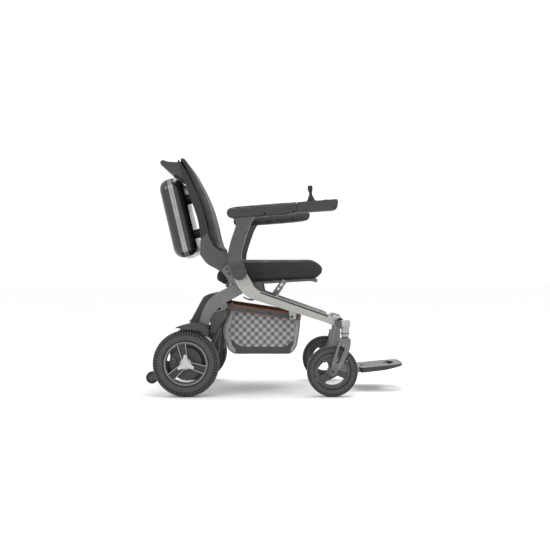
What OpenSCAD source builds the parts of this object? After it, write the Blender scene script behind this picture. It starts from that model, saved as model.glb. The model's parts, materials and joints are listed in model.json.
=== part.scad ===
/* [Overall] */
// Length from the anti-tip wheels to the tip of the footplate
overall_length = 1039; // [1000:1:1240]
// Width over the mudguards
overall_width = 600; // [560:1:720]
// Distance from the drive axle to the caster axle
wheelbase = 571; // [540:1:690]
// Height of the main fold pivot above the floor
pivot_height = 428; // [410:1:470]

/* [Drive wheels] */
// Outer diameter of the drive tyres
drive_wheel_d = 260; // [220:1:310]
// Width of the drive tyres
drive_wheel_w = 50; // [40:1:60]
// Radial height of the drive tyres
drive_tyre_h = 46; // [38:1:52]
// Radius of the hub motors
motor_r = 62; // [52:1:66]
// Distance from the drive axle back to the rear end of the chair
rear_overhang = 164; // [150:1:200]
// Diameter of the anti-tip wheels
anti_tip_d = 48; // [42:1:60]

/* [Casters] */
// Outer diameter of the caster tyres
caster_d = 200; // [170:1:230]
// Width of the caster tyres
caster_w = 44; // [36:1:50]
// Horizontal distance from the swivel axis back to the caster axle
caster_trail = 50; // [35:1:60]

/* [Frame] */
// Thickness of the side beams across the chair
beam_t = 28; // [22:1:32]
// Thickness of the rear legs across the chair
leg_t = 24; // [18:1:26]
// Radius of the frame cross tubes
tube_r = 14; // [10:0.5:16]
// Radius of the pivot pins
pin_r = 6; // [4:0.5:8]

/* [Seat] */
// Half of the seat cushion's width
seat_half_w = 197; // [160:1:198]
// Thickness of the seat cushion at its middle
cushion_t = 84; // [60:1:90]
// Half of the backrest's width
back_half_w = 200; // [170:1:200]
// Thickness of the backrest pad
back_pad_t = 22; // [16:1:26]

/* [Armrests] */
// Width of the armrest pads
arm_pad_w = 52; // [40:1:54]
// Thickness of the armrest pads
arm_pad_t = 41; // [30:1:46]
// Length of the joystick box
controller_l = 157; // [130:1:180]

/* [Cargo] */
// Half of the basket's width
basket_half_w = 177; // [140:1:178]
// Thickness of the basket's walls
basket_wall = 4; // [3:0.5:6]
// Half of the rear pod's width
pod_half_w = 148; // [110:1:160]

/* [Footplate] */
// Length of the footplate from its hinge pin to its tip
footplate_l = 191; // [155:1:210]
// Half of the footplate's width
footplate_half_w = 116; // [90:1:116]

/* [Hidden] */
$fn = 48;

// Running clearance of a pin in its bore, and the gap between parts that pass each other
fit = 0.08;
gap = 2;

// Layout across the chair, each value a distance from the middle plane
half_w = overall_width / 2;
drive_y = half_w - 5 - drive_wheel_w / 2;
beam_out = half_w - 46;
beam_in = beam_out - beam_t;
leg_out = beam_in - gap;
leg_in = leg_out - leg_t;
upright_in = beam_in - 14;
bracket_in = leg_in;
bracket_out = upright_in - 1;
rail_out = leg_in - 3;
rail_in = basket_half_w + 3 + (rail_out - 197);
basket_y = rail_in - 3;
arm_in = beam_out + 2.5;
arm_out = arm_in + 32;
pad_mid = half_w - 28;
caster_y = half_w - 35;

// Main points in the side view, each [x, z]
drive_axle = [-overall_length / 2 + rear_overhang, drive_wheel_d / 2];
caster_axle = [drive_axle[0] + wheelbase, caster_d / 2];
swivel_x = caster_axle[0] + caster_trail;
head_z = caster_d + 90;
fold_pivot = [drive_axle[0] + 229, pivot_height];
arm_pivot = fold_pivot + [-21, 55];
back_pivot = fold_pivot + [-32, 72];
seat_pivot = fold_pivot + [53, 4];
rail_pivot = fold_pivot + [-84, -77];
beam_tip = [swivel_x - 40, head_z];
foot_pivot = [overall_length / 2 - footplate_l, 85];
swing_pivot = drive_axle + [107, 20];
shock_top = [-98, -160] + fold_pivot;
shock_foot = swing_pivot + [-30, 2];

// Straight run of the side beam: its upper and lower edges
beam_top_a = fold_pivot + [58.5, -16];
beam_top_b = beam_tip + [-21, 27];
beam_low_a = fold_pivot + [45, -53];
beam_low_b = beam_tip + [-34, -1];
function along(a, b, x) = a[1] + (b[1] - a[1]) * (x - a[0]) / (b[0] - a[0]);
function beam_top(x) = along(beam_top_a, beam_top_b, x);
function beam_low(x) = along(beam_low_a, beam_low_b, x);
function beam_mid(x) = (beam_top(x) + beam_low(x)) / 2;

// Smooth curve through points, with this many steps between neighbours
steps = 4;
function spline(a, b, c, d, t) =
    0.5 * (2 * b + (c - a) * t + (2 * a - 5 * b + 4 * c - d) * t * t + (3 * b - a - 3 * c + d) * t * t * t);
function curve(p) = [
    for (i = [0 : len(p) - 2], k = [0 : steps - 1])
        spline(p[max(i - 1, 0)], p[i], p[i + 1], p[min(i + 2, len(p) - 1)], k / steps),
    p[len(p) - 1]
];
function shift(p, by) = [for (q = p) q + by];
function turn(p, a) = [for (q = p) [q[0] * cos(a) - q[1] * sin(a), q[0] * sin(a) + q[1] * cos(a)]];

// A side-view outline extruded across the chair from y0 to y1
module slab(y0, y1) translate([0, y1, 0]) rotate([90, 0, 0]) linear_extrude(y1 - y0) children();
module disc(p, r) translate(p) circle(r);
module rod(p, r, y0, y1) translate([p[0], y1, p[1]]) rotate([90, 0, 0]) cylinder(r = r, h = y1 - y0);
module spin(p, y) translate([p[0], y, p[1]]) rotate([90, 0, 0]) rotate_extrude($fn = 96) children();
module side(s) mirror([0, s < 0 ? 1 : 0, 0]) children();
module pair() for (s = [-1, 1]) side(s) children();

// ---- Front frame ----

module beam_outline() {
    upper = [arm_pivot + [22, 9], fold_pivot + [16, 38], fold_pivot + [26, 20], fold_pivot + [39, -2],
        beam_top_a];
    nose = [beam_top_b, beam_tip + [-6, 19], beam_tip + [0, 8]];
    chin = [beam_tip + [0, -9], beam_tip + [-11, -11], beam_low_b];
    lower = [beam_low_a, fold_pivot + [16, -42], fold_pivot + [-7, -25], fold_pivot + [-26, 1],
        fold_pivot + [-41, 27], arm_pivot + [-24, -4]];
    polygon(concat(curve(upper), curve(nose), curve(chin), curve(lower)));
    disc(arm_pivot, 24);
}

module side_beams() color("silver") for (s = [-1, 1]) side(s) difference() {
    slab(beam_in, beam_out) beam_outline();
    rod(fold_pivot, pin_r, beam_in - 1, beam_out - 6);
    rod(arm_pivot, pin_r, beam_in - 1, beam_out + 1);
    if (s < 0) slab(lever_in, lever_out) polygon(shift([[-48, 20], [-30, 2], [-10, 9], [10, 9],
        [10, -20], [-48, -20]],
        lever_pivot));
}

seat_tube = [seat_pivot[0] + 10, beam_mid(seat_pivot[0] + 10)];
front_tube = beam_tip + [22, 2];

module cross_tubes() color("dimgray") for (p = [seat_tube, front_tube]) difference() {
    rod(p, tube_r, -beam_in, beam_in);
    rod(p, tube_r - 2.5, -beam_in - 1, beam_in + 1);
}

head_r = 16;
stem_r = 9;
head_top = head_z + 8;
head_low = caster_d + 35;

module head_blocks() color("#333333") pair() difference() {
    slab(beam_in, caster_y + 14) polygon([
        beam_tip + [0, 9], beam_tip + [24, 5], beam_tip + [28, -14], beam_tip + [20, -26],
            beam_tip + [0, -11]
    ]);
    translate([swivel_x, caster_y, head_low - 1]) cylinder(r = head_r + 4, h = head_top - head_low + 2);
}

module head_tubes() color("silver") pair() translate([swivel_x, caster_y, 0]) difference() {
    union() {
        translate([0, 0, head_low]) cylinder(r = head_r, h = head_top - head_low);
        translate([0, 0, head_top - 25]) cylinder(r = head_r + 4, h = 25);
    }
    translate([0, 0, head_low - 1]) cylinder(r = stem_r + fit, h = head_top - head_low - 4);
}

hanger_in = 84;
hanger_out = 100;
foot_pin_r = 5;

module footrest_hanger() color("gray") {
    pair() difference() {
        slab(hanger_in, hanger_out) {
            front = shift([[34, -6], [32, -45], [22, -85], [17, -110], [30, -155], [66, -186]], beam_tip);
            rear = shift([[28, -206], [-4, -175], [-2, -108], [6, -70], [13, -30], [14, -3]], beam_tip);
            polygon(concat(curve(front), [foot_pivot + [0, 11], foot_pivot + [0, -11]], curve(rear)));
            disc(front_tube, tube_r + 4);
            disc(foot_pivot, 11);
        }
        rod(front_tube, tube_r, hanger_in - 1, hanger_out + 1);
        rod(foot_pivot, foot_pin_r, hanger_in - 1, hanger_out + 1);
    }
    rod(foot_pivot, foot_pin_r, -hanger_out - 6, hanger_out + 6);
}

rail_slope = -8.4;
rail_h = 20;
groove_h = 12;
groove_depth = 6;
peg_r = 2.5;
rail_rear = -10;
rail_front = 306;
bracket_x = 272;
function on_rail(s, n) = rail_pivot + turn([[s, n]], rail_slope)[0];
rail_peg = on_rail(bracket_x, -2);

module rail_bracket() color("silver") {
    slab(rail_out + 1.5, beam_in) polygon([
        [rail_peg[0] - 14, beam_low(rail_peg[0] - 14) + 8],
            [rail_peg[0] + 22, beam_low(rail_peg[0] + 22) + 8],
        rail_peg + [14, -9], rail_peg + [-7, -9]
    ]);
    rod(rail_peg, peg_r, rail_out - groove_depth + 1.5, rail_out + 1.5);
}

strut_in = seat_half_w + 4;
strut_out = strut_in + 8;
strut_top = seat_pivot + [101, 15];
strut_peg = seat_pivot + [69, -30];
strut_peg_r = 3;

module seat_bracket() color("gray") {
    difference() {
        slab(seat_half_w + 6, beam_in) polygon([
            seat_pivot + [-15, -32], seat_pivot + [-14, 6], seat_pivot + [-8, 14],
            seat_pivot + [8, 14], seat_pivot + [16, 4], seat_pivot + [22, -28]
        ]);
        rod(seat_pivot, 4, seat_half_w + 5, beam_in + 1);
        rod(seat_tube, tube_r, seat_half_w + 5, beam_in + 1);
    }
    slab(strut_out + 1, beam_in) polygon(shift([[-10, -14], [-10, 6], [6, 4], [9, -4], [9, -20]],
        strut_peg));
    rod(strut_peg, strut_peg_r, strut_in - 1, strut_out + 1);
}

module uprights() color("gray") pair() difference() {
    slab(upright_in, beam_in) polygon(concat(
        curve(shift([[-62, 10], [-66, 22], [-75, 39], [-90, 59], [-86, 76], [-60, 92], [-30, 98],
            [-6, 80], [2, 50]],
            fold_pivot)),
        [fold_pivot + [-6, 23], fold_pivot + [-26, 11]]
    ));
    rod(back_pivot, pin_r, upright_in - 1, beam_in + 1);
    rod(arm_pivot, pin_r, upright_in - 1, beam_in + 1);
}

// Hand lever that frees the fold, in a notch under the right side beam
lever_pivot = fold_pivot + [38, -44];
lever_in = beam_in + 6;
lever_out = beam_out - 6;

module fold_lever() color("#2a2a2a") side(-1) difference() {
    slab(lever_in + 0.3, lever_out - 0.3) {
        disc(lever_pivot, 6.5);
        polygon(concat(curve(shift([[6, -6], [-10, -10], [-30, -6], [-46, 3]], lever_pivot)),
            curve(shift([[-43, 7], [-30, -0.5], [-12, -2], [0, 3]], lever_pivot))));
    }
    rod(lever_pivot, 3 + fit, lever_in, lever_out);
}

// Pivot pins, bolt heads and the rubber blocks the rear legs rest against
module pins_and_stops() color("#222222") {
    side(-1) rod(lever_pivot, 3, lever_in, lever_out);
    pair() pin_set();
}

module pin_set() {
    rod(fold_pivot, pin_r, leg_in, beam_out - 6);
    rod(arm_pivot, pin_r, upright_in, arm_out - 4);
    rod(back_pivot, pin_r, back_half_w, beam_in);
    rod(seat_pivot, 4, seat_half_w - 11, beam_in);
    for (p = [fold_pivot + [-72, 71], fold_pivot + [-63, 53]]) rod(p, 4.5, beam_in, beam_in + 3);
    rod(rail_peg, 6, beam_in, beam_in + 3);
    slab(leg_in + 1, beam_in - 2) polygon(shift([[-62, 9.4], [-72, -2], [-77, 2], [-76, 14], [-70, 19],
        [-66, 20]],
        fold_pivot));
}

module tube_clamp(s) color("gray") difference() {
    union() {
        if (s < 0) slab(beam_in - 18, beam_out - 6) polygon(concat(
            curve(shift([[-3, 10], [0, 18], [8, 22], [20, 22], [25, 17], [25, 8]], beam_tip)),
                [beam_tip + [10, 9.5]]
        ));
        slab(beam_in - 18, beam_in) disc(front_tube, tube_r + 1.5);
    }
    rod(front_tube, tube_r, beam_in - 19, beam_out + 1);
    slab(beam_in - 0.1, beam_out + 1) beam_outline();
}

module frame_brackets() for (s = [-1, 1]) side(s) {
    rail_bracket();
    seat_bracket();
    tube_clamp(s);
}

// ---- Rear frame ----

module leg_outline() {
    back = [[-24, 8.6], [-62, 8.6], [-74, -5], [-114, -26], [-146, -54], [-167, -91], [-183, -144],
        [-185, -157]];
    front = [[-146, -157], [-138, -127], [-125, -103], [-105, -77], [-69, -58], [-36, -41], [-6, -23]];
    polygon(concat(shift([back[0], back[1]], fold_pivot), curve(shift([for (i = [2 : 7]) back[i]],
        fold_pivot)),
        curve(shift(front, fold_pivot))));
    disc(fold_pivot, 22);
    difference() {
        polygon(shift([[-128, -103], [-96, -62], [-74, -64], [-70, -78], [-80, -92]], fold_pivot));
        polygon(shift([[-116, -96], [-100, -80], [-93, -88]], fold_pivot));
    }
}

module rear_legs() color("dimgray") pair() difference() {
    slab(leg_in, leg_out) leg_outline();
    rod(fold_pivot, pin_r + fit, leg_in - 1, leg_out + 1);
    rod(rail_pivot, 4 + fit, leg_in - 1, leg_out + 1);
}

leg_tube = fold_pivot + [-197, -158];

module rear_cross_tube() color("dimgray") rod(leg_tube, tube_r - 3, -leg_in, leg_in);

module power_housing() color("#3c3c3c") difference() {
    slab(-leg_in, leg_in) polygon(concat(
        curve(shift([[-226, -149], [-196, -94], [-170, -46], [-155, -33], [-138, -28], [-114, -30]],
            fold_pivot)),
        shift([[-100, -46], [-98, -88], [-152, -147]], fold_pivot)
    ));
    rod(leg_tube, tube_r - 3, -leg_in - 1, leg_in + 1);
}

guard_t = 3;
guard_lift = 11;
guard_rear = drive_axle + [-39, drive_wheel_d / 2 + guard_lift];
module mudguards() color("#3f3f3f") pair() {
    crown = shift([[0, 0], [30, 10], [59, 15], [90, 15], [118, 9]], guard_rear);
    front = [[124, 0], [126, -30]];
    slab(leg_out, half_w) polygon(concat(
        curve(crown), shift(front, guard_rear), shift([[122, -30], [119, 2]], guard_rear),
        [for (i = [4 : -1 : 0]) crown[i] - [0, guard_t]]
    ));
    slab(half_w - guard_t, half_w) polygon(concat(
        [crown[0]], curve(crown), shift(front, guard_rear), shift([[100, -14], [66, -6], [30, -6]],
            guard_rear)
    ));
}

shock_y = bracket_out + 9;
shock_r = 8.5;
shock_l = 94;
shock_dir = (shock_foot - shock_top) / norm(shock_foot - shock_top);
shock_tilt = atan2(shock_dir[0], -shock_dir[1]);
module on_shock(p) translate([p[0], shock_y, p[1]]) rotate([0, -shock_tilt, 0]) children();

module shock_bodies() color("#262626") pair() {
    difference() {
        union() {
            difference() {
                slab(bracket_in, leg_out + 2) polygon(shift([[-124, -103], [-66, -92], [-76, -122],
                    [-96, -158],
                    [-110, -184], [-136, -180], [-139, -126]], fold_pivot));
                slab(leg_in - 1, leg_out) leg_outline();
            }
            slab(bracket_in, bracket_out) {
                polygon([fold_pivot + [-84, -96], fold_pivot + [-90, -150], swing_pivot + [15, 6],
                    swing_pivot + [-15, 0], fold_pivot + [-128, -150], fold_pivot + [-126, -110]]);
                disc(swing_pivot, 15);
            }
        }
        rod(swing_pivot, pin_r, bracket_in - 1, bracket_out + 1);
        on_shock(shock_top) translate([0, 0, -40]) cylinder(r = shock_r + 1, h = 60);
    }
    rod(swing_pivot, pin_r, bracket_in, drive_y - drive_wheel_w / 2 - 2);
    on_shock(shock_top) translate([0, 0, -shock_l]) difference() {
        cylinder(r = shock_r, h = shock_l);
        translate([0, 0, -1]) cylinder(r = shock_r - 1.2, h = shock_l - 20);
    }
}

// ---- Swing arms with motors ----

arm_plate_in = drive_y - drive_wheel_w / 2 - 16;
arm_plate_out = arm_plate_in + 12;
clamp_r = motor_r + 7;

module swing_arm(s) color("#303030") side(s) difference() {
    slab(arm_plate_in, arm_plate_out) {
        disc(drive_axle, clamp_r);
        disc(swing_pivot, 15);
        polygon([drive_axle + [20, 60], swing_pivot + [0, 15], swing_pivot + [0, -15],
            drive_axle + [30, -52]]);
    }
    rod(drive_axle, motor_r, arm_plate_in - 1, arm_plate_out + 1);
    rod(swing_pivot, pin_r + fit, arm_plate_in - 1, arm_plate_out + 1);
}

motor_in = basket_y + 12;
motor_out = drive_y - 2;
axle_r = 8;
knob_at = drive_axle + [-50, 11];

module motor(s) color("#3a3a3a") side(s) {
    difference() {
        union() {
            rod(drive_axle, motor_r, arm_plate_in - 6, motor_out);
            rod(drive_axle, motor_r - 8, motor_in, arm_plate_in - 6);
            rod(drive_axle, 30, motor_out, motor_out + 6);
        }
        rod(knob_at, 4 + fit, motor_out - 12, motor_out + 1);
    }
    rod(drive_axle, axle_r, motor_out + 6, drive_y + drive_wheel_w / 2 - 8);
}

module shock_rod(s) color("silver") side(s) {
    rod(shock_foot, 5, shock_y - 6, arm_plate_in);
    on_shock(shock_foot) {
        translate([0, 0, -8]) cylinder(r = 7, h = 14);
        cylinder(r = 4, h = 42);
    }
}

anti_tip_y = arm_plate_in - 16;
anti_tip_axle = [-overall_length / 2 + anti_tip_d / 2, drive_axle[1] - 61];

module anti_tip_arm(s) color("#2c2c2c") side(s) difference() {
    union() {
        slab(anti_tip_y + 15, arm_plate_in) {
            polygon([drive_axle + [-56, 10], anti_tip_axle + [-2, 12], anti_tip_axle + [4, -12],
                drive_axle + [-44, -44]]);
            disc(anti_tip_axle, 12);
        }
        rod(anti_tip_axle, 5, anti_tip_y - 13, anti_tip_y + 15);
    }
    rod(drive_axle, motor_r, anti_tip_y, arm_plate_in + 1);
}

module clutch_knob(s) color("#444444") side(s) {
    rod(knob_at, 13, motor_out + 0.5, motor_out + 7);
    rod(knob_at, 4, motor_out - 10, motor_out + 0.5);
    slab(motor_out + 7, motor_out + 8.5) polygon(shift([[-3, 6], [3, 6], [3, 11], [-3, 11]], knob_at));
}

// ---- Wheels ----

module tyre_section(r, h, w) {
    half = w / 2;
    polygon([
        [r, -half * 0.4], [r, half * 0.4], [r - 3, half * 0.7], [r - 11, half * 0.94], [r - 26, half],
        [r - h * 0.85, half * 0.9], [r - h, half * 0.66], [r - h, -half * 0.66],
            [r - h * 0.85, -half * 0.9],
        [r - 26, -half], [r - 11, -half * 0.94], [r - 3, -half * 0.7]
    ]);
}

module drive_tyre(s) color("#4a4a4a") spin(drive_axle, s * drive_y)
    tyre_section(drive_wheel_d / 2, drive_tyre_h, drive_wheel_w);

drive_rim_r = drive_wheel_d / 2 - drive_tyre_h;
drive_barrel = drive_wheel_w * 0.33;
spoke_angle = 102.5;
cap_angle = 93;

// Three spokes, each a web between two ribs, as a flat plan with the wheel's axis at the origin
module spokes(r0, r1, w0, w1) for (k = [0 : 2]) rotate(spoke_angle + 120 * k) polygon([
    [r0, -w0], [r1, -w1], [r1, w1], [r0, w0]
]);
module spoke_ribs(r0, r1, w0, w1, t) for (k = [0 : 2], m = [0, 1]) rotate(spoke_angle + 120 * k)
    mirror([0, m])
    polygon([[r0, w0 - t], [r1, w1 - t], [r1, w1], [r0, w0]]);

module drive_rim(s) color("#5c5c5c") side(s) {
    difference() {
        union() {
            spin(drive_axle, drive_y) polygon([
                [drive_rim_r, -drive_barrel], [drive_rim_r, drive_barrel],
                [drive_rim_r + 2, drive_barrel + 4], [drive_rim_r - 4, drive_barrel + 4],
                [drive_rim_r - 8, drive_barrel - 2], [drive_rim_r - 6, -drive_barrel]
            ]);
            slab(drive_y + 9, drive_y + 13) translate(drive_axle) spokes(12, drive_rim_r - 5, 11, 17);
            slab(drive_y + 13, drive_y + 18) translate(drive_axle)
                spoke_ribs(14, drive_rim_r - 5, 12, 17, 2.6);
            rod(drive_axle, 22, drive_y + 5.5, drive_y + 18);
        }
        rod(drive_axle, axle_r + fit, drive_y, drive_y + 19);
    }
}

module hub_cap(s) color("silver") side(s) slab(drive_y + 18, drive_y + 24) translate(drive_axle) polygon([
    for (k = [0 : 2]) each turn(
        curve([[35.5, -4], [35.5, 4], [22, 8.5], [12, 13], [6.5, 12]]), cap_angle + 120 * k
    )
]);

module anti_tip_wheel(s) color("#505050") side(s) spin(anti_tip_axle, anti_tip_y) polygon([
    [5 + fit, -13], [12, -13], [anti_tip_d / 2 - 3, -12], [anti_tip_d / 2, -8],
    [anti_tip_d / 2, 8], [anti_tip_d / 2 - 3, 12], [12, 13], [5 + fit, 13]
]);

fork_out = caster_w / 2 + 8;
fork_top = caster_d + 29;
caster_axle_r = 6;

module fork_outline() {
    difference() {
        union() {
            rear = shift([[-29, 29], [-28, 12], [-47, -44], [-61, -102]], [swivel_x, caster_d]);
            front = shift([[-39, -108], [-12, -71], [12, -23], [19, 5], [19, 25], [15, 29]],
                [swivel_x, caster_d]);
            polygon(concat(curve(rear), curve(front)));
            disc(caster_axle, 13);
        }
        polygon(shift([[-25, -5], [-4, -11], [-25, -64], [-37, -60]], [swivel_x, caster_d]));
        disc([swivel_x - 14.5, caster_d - 8], 10.8);
        disc([swivel_x - 31, caster_d - 62], 6.2);
    }
}

module caster_fork(s) color("#6b6b6b") side(s) {
    for (y = [caster_y - fork_out, caster_y + fork_out - 5]) slab(y, y + 5) fork_outline();
    slab(caster_y - fork_out + 5, caster_y + fork_out - 5)
        polygon(shift([[-29, 29], [-28.3, 17], [18, 8], [19, 25], [15, 29]], [swivel_x, caster_d]));
    translate([swivel_x, caster_y, fork_top]) cylinder(r = stem_r, h = head_top - fork_top - 8);
    translate([swivel_x, caster_y, fork_top]) cylinder(r = 13, h = head_low - fork_top - 0.5);
    rod(caster_axle, caster_axle_r, caster_y - fork_out + 5, caster_y + fork_out - 5);
    rod(caster_axle, 8, caster_y + fork_out, caster_y + fork_out + 2);
}

caster_tyre_h = 31;
caster_rim_r = caster_d / 2 - caster_tyre_h;

module caster_tyre(s) color("#484848") spin(caster_axle, s * caster_y)
    tyre_section(caster_d / 2, caster_tyre_h, caster_w);

module caster_rim(s) color("#4d4d4d") side(s) difference() {
    union() {
        spin(caster_axle, caster_y) polygon([
            [caster_rim_r, -14], [caster_rim_r, 14], [caster_rim_r - 8, 16], [caster_rim_r - 14, 14],
            [caster_rim_r - 12, -14], [caster_rim_r - 6, -16]
        ]);
        slab(caster_y - 9, caster_y + 9) translate(caster_axle) spokes(12, caster_rim_r - 10, 10, 15);
        rod(caster_axle, 20, caster_y - 22, caster_y + 22);
    }
    rod(caster_axle, caster_axle_r + fit, caster_y - 23, caster_y + 23);
}

// ---- Cargo frame ----

module rail_bar(s0, s1, n0, n1) polygon([on_rail(s0, n0), on_rail(s1, n0), on_rail(s1, n1),
    on_rail(s0, n1)]);

module cargo_rails() color("#5f6468") {
    pair() {
        difference() {
            slab(rail_in, rail_out) rail_bar(rail_rear, rail_front, -rail_h / 2, rail_h / 2);
            slab(rail_out - groove_depth, rail_out + 1)
                rail_bar(20, rail_front - 10, -groove_h / 2, groove_h / 2);
        }
        rod(rail_pivot, 4, rail_in, leg_out + 3);
    }
    for (s = [14, rail_front - 12]) rod(on_rail(s, 0), 6, -rail_in, rail_in);
}

module rail_trims() color("#7a4522") pair() for (n = [rail_h / 2, -rail_h / 2 - 2.5])
    slab(rail_in, rail_out) rail_bar(16, rail_front - 2, n, n + 2.5);

// Basket outline measured from the rail pivot, inset by t
function basket_outline(t) = concat(
    [[21 + t, -8]],
    curve([[21 + t, -18], [-6 + t, -89], [9 + t, -150], [15 + t, -171 + t * 0.4],
        [31 + t * 0.4, -186 + t]]),
    curve([[46, -191 + t], [140, -191 + t], [256, -191 + t]]),
    curve([[275 - t * 0.6, -181 + t], [290 - t, -152], [298 - t, -100], [301 - t, -58]]), [[301 - t, -50]]
);

module basket() color("#8d8d8d") difference() {
    slab(-basket_y, basket_y) polygon(shift(basket_outline(0), rail_pivot));
    slab(-basket_y + basket_wall, basket_y - basket_wall) polygon(concat(
        shift(basket_outline(basket_wall), rail_pivot),
        [rail_pivot + [301 - basket_wall, 0], rail_pivot + [21 + basket_wall, 40]]
    ));
    for (s = [14, rail_front - 12]) rod(on_rail(s, 0), 6.4, -basket_y - 1, basket_y + 1);
}

// ---- Seat ----

seat_low = 17;
function seat_base(x) = seat_pivot[1] + seat_low + (x - seat_pivot[0]) * 0.057;

module seat_cushion() color("#353535") slab(-seat_half_w, seat_half_w) {
    x0 = seat_pivot[0] - 170;
    x1 = seat_pivot[0] + 262;
    top = seat_pivot[1] + seat_low + cushion_t;
    polygon(concat(
        curve([[x0 + 14, seat_base(x0 + 14)], [x0 - 2, seat_base(x0) + 9], [x0 - 7, seat_base(x0) + 24],
            [x0 - 1, top - 52], [x0 + 13, top - 38], [x0 + 40, top - 21], [x0 + 70, top - 9]]),
        curve([[x0 + 115, top - 2], [x1 - 110, top + 2], [x1 - 40, top - 3], [x1 - 8, top - 20],
            [x1, top - 42],
            [x1 - 12, seat_base(x1) + 7], [x1 - 32, seat_base(x1 - 32)]])
    ));
}

seat_rail_h = 10;
pan_t = 5;

module seat_pan() color("#4a4a4a") {
    x0 = seat_pivot[0] - 118;
    x1 = seat_pivot[0] + 226;
    slab(-seat_half_w + 20, seat_half_w - 20) polygon([
        [x0, seat_base(x0) - 0.3], [x1, seat_base(x1) - 0.3],
        [x1, seat_base(x1) - pan_t], [x0, seat_base(x0) - pan_t]
    ]);
    pair() difference() {
        slab(seat_half_w - 18, seat_half_w) {
            xr = seat_pivot[0] - 6;
            polygon([
                [xr, seat_base(xr) - 0.3], [x1, seat_base(x1) - 0.3],
                [x1, seat_base(x1) - seat_rail_h], [xr, seat_base(xr) - seat_rail_h]
            ]);
            disc(seat_pivot, 10);
            polygon([seat_pivot + [-8, 4], seat_pivot + [8, 4], seat_pivot + [12, 12],
                seat_pivot + [-6, 12]]);
        }
        rod(seat_pivot, 4 + fit, seat_half_w - 19, seat_half_w + 1);
    }
    pair() rod(strut_top, 4, seat_half_w - 11, strut_out);
    rod([x1 + 1, seat_base(x1) - 8.5], 8, -seat_half_w, seat_half_w);
}

strut_l = norm(strut_top - strut_peg);
strut_angle = atan2(strut_top[1] - strut_peg[1], strut_top[0] - strut_peg[0]);
strut_w = 19;
strut_rail = 4.5;
tooth = 7;

module tilt_struts() color("#4a4a4a") pair() difference() {
    slab(strut_in, strut_out) translate(strut_peg) rotate(strut_angle) difference() {
        union() {
            translate([-27, -strut_w / 2]) square([strut_l + 34, strut_w]);
            for (k = [0 : 7]) translate([-20 + tooth * k, -strut_w / 2])
                polygon([[0, 0], [tooth / 2, -2.6], [tooth, 0]]);
        }
        for (x = [[-23, 28], [10, 15], [30, 16]])
            translate([x[0], -strut_w / 2 + strut_rail]) square([x[1], strut_w - 2 * strut_rail]);
    }
    rod(strut_top, 4 + fit, strut_in - 1, strut_out + 1);
}

// ---- Backrest ----

// Front face of the pad and rear face of the shell, both measured from the fold pivot, top to bottom
pad_face = [[-250, 513], [-222, 470], [-187, 406], [-157, 339], [-134, 262], [-121, 205], [-108, 168],
    [-91, 146]];
shell_face = [[-271, 506], [-243, 417], [-193, 278], [-180, 200], [-174, 142]];
pad_top = [[-267, 508], [-261, 517]];
pad_end = [-71, 137];
pad_taper = [0.75, 0.8, 0.95, 1, 1];
function behind(p, i, d) = let (v = p[min(i + 1, len(p) - 1)] - p[max(i - 1, 0)])
    p[i] + d * [v[1], -v[0]] / norm(v);
function backwards(p) = [for (i = [len(p) - 1 : -1 : 0]) p[i]];

// Seam between pad and shell: the pad's thickness behind its face, thinning to a point at each end
function seam(t) = curve(concat(
    [for (i = [0 : 4]) behind(pad_face, i, t * pad_taper[i])],
    [[-121 - t * 0.9, 193], [-92 - t * 0.9, 153], pad_end]
));
module back_outline()
    polygon(shift(concat(pad_top, curve(pad_face), backwards(curve(shell_face))), fold_pivot));

module back_pad() color("#303030") slab(-back_half_w + 8, back_half_w - 8)
    polygon(shift(concat(pad_top, curve(pad_face), backwards(seam(back_pad_t - 0.3))), fold_pivot));

module back_shell() color("#222222") slab(-back_half_w, back_half_w)
    polygon(shift(concat(seam(back_pad_t), backwards(curve(shell_face))), fold_pivot));

module back_brackets() color("#5a5a5a") pair() difference() {
    slab(back_half_w, bracket_out) {
        polygon(shift(concat(
            curve([[-180, 128], [-152, 92], [-118, 72.5], [-84, 54], [-50, 48]]),
            curve([[-16, 92], [-45, 116], [-71, 135], [-90, 141], [-111, 151], [-129, 168],
                [-142, 192], [-151, 214]]),
            [[-178, 190]]
        ), fold_pivot));
        disc(back_pivot, 24);
    }
    rod(back_pivot, pin_r + fit, back_half_w - 1, bracket_out + 1);
}

grip_r = 12;
grip_at = fold_pivot + [-327, 494];

module push_handle() color("#2b2b2b") {
    pair() difference() {
        slab(back_half_w - 34, back_half_w) polygon(shift(concat(
            curve([[-340, 496], [-330, 505], [-308, 499], [-276, 497], [-262, 500]]),
            [[-243, 430]], curve([[-262, 439], [-306, 463], [-336, 486]])
        ), fold_pivot));
        slab(back_half_w - 35, back_half_w + 1) back_outline();
    }
    rod(grip_at, grip_r, -back_half_w + 34, back_half_w - 34);
}

// ---- Rear pod: a rounded case that leans back with the backrest ----

pod_low = fold_pivot + [-239, 121];
pod_h = 328;
pod_lean = 13.3;
band_w = 19;
pod_corner = 46;

// Places children with Z up along the pod and X across its thickness
module on_pod() translate([pod_low[0], 0, pod_low[1]]) rotate([0, -pod_lean, 0]) children();

// Rounded plate standing on the pod's axis, inset by t, from x to x + d
module pod_plate(x, d, t) translate([x, 0, pod_h / 2]) rotate([0, 90, 0]) linear_extrude(d) hull()
    for (a = [-1, 1], b = [-1, 1]) translate([a * (pod_h / 2 - pod_corner), b * (pod_half_w - pod_corner)])
        circle(pod_corner - t, $fn = 32);

module pod_shells() {
    pod_halves();
    pod_posts();
}

module pod_halves() color("#2e2c2a") on_pod() {
    hull() {
        pod_plate(-band_w / 2 - 3, 3, 1);
        pod_plate(-34, 1, 9);
        pod_plate(-48, 1, 30);
    }
    hull() {
        pod_plate(band_w / 2, 3, 1);
        pod_plate(36, 1, 10);
        pod_plate(48, 1, 30);
    }
}

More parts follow.
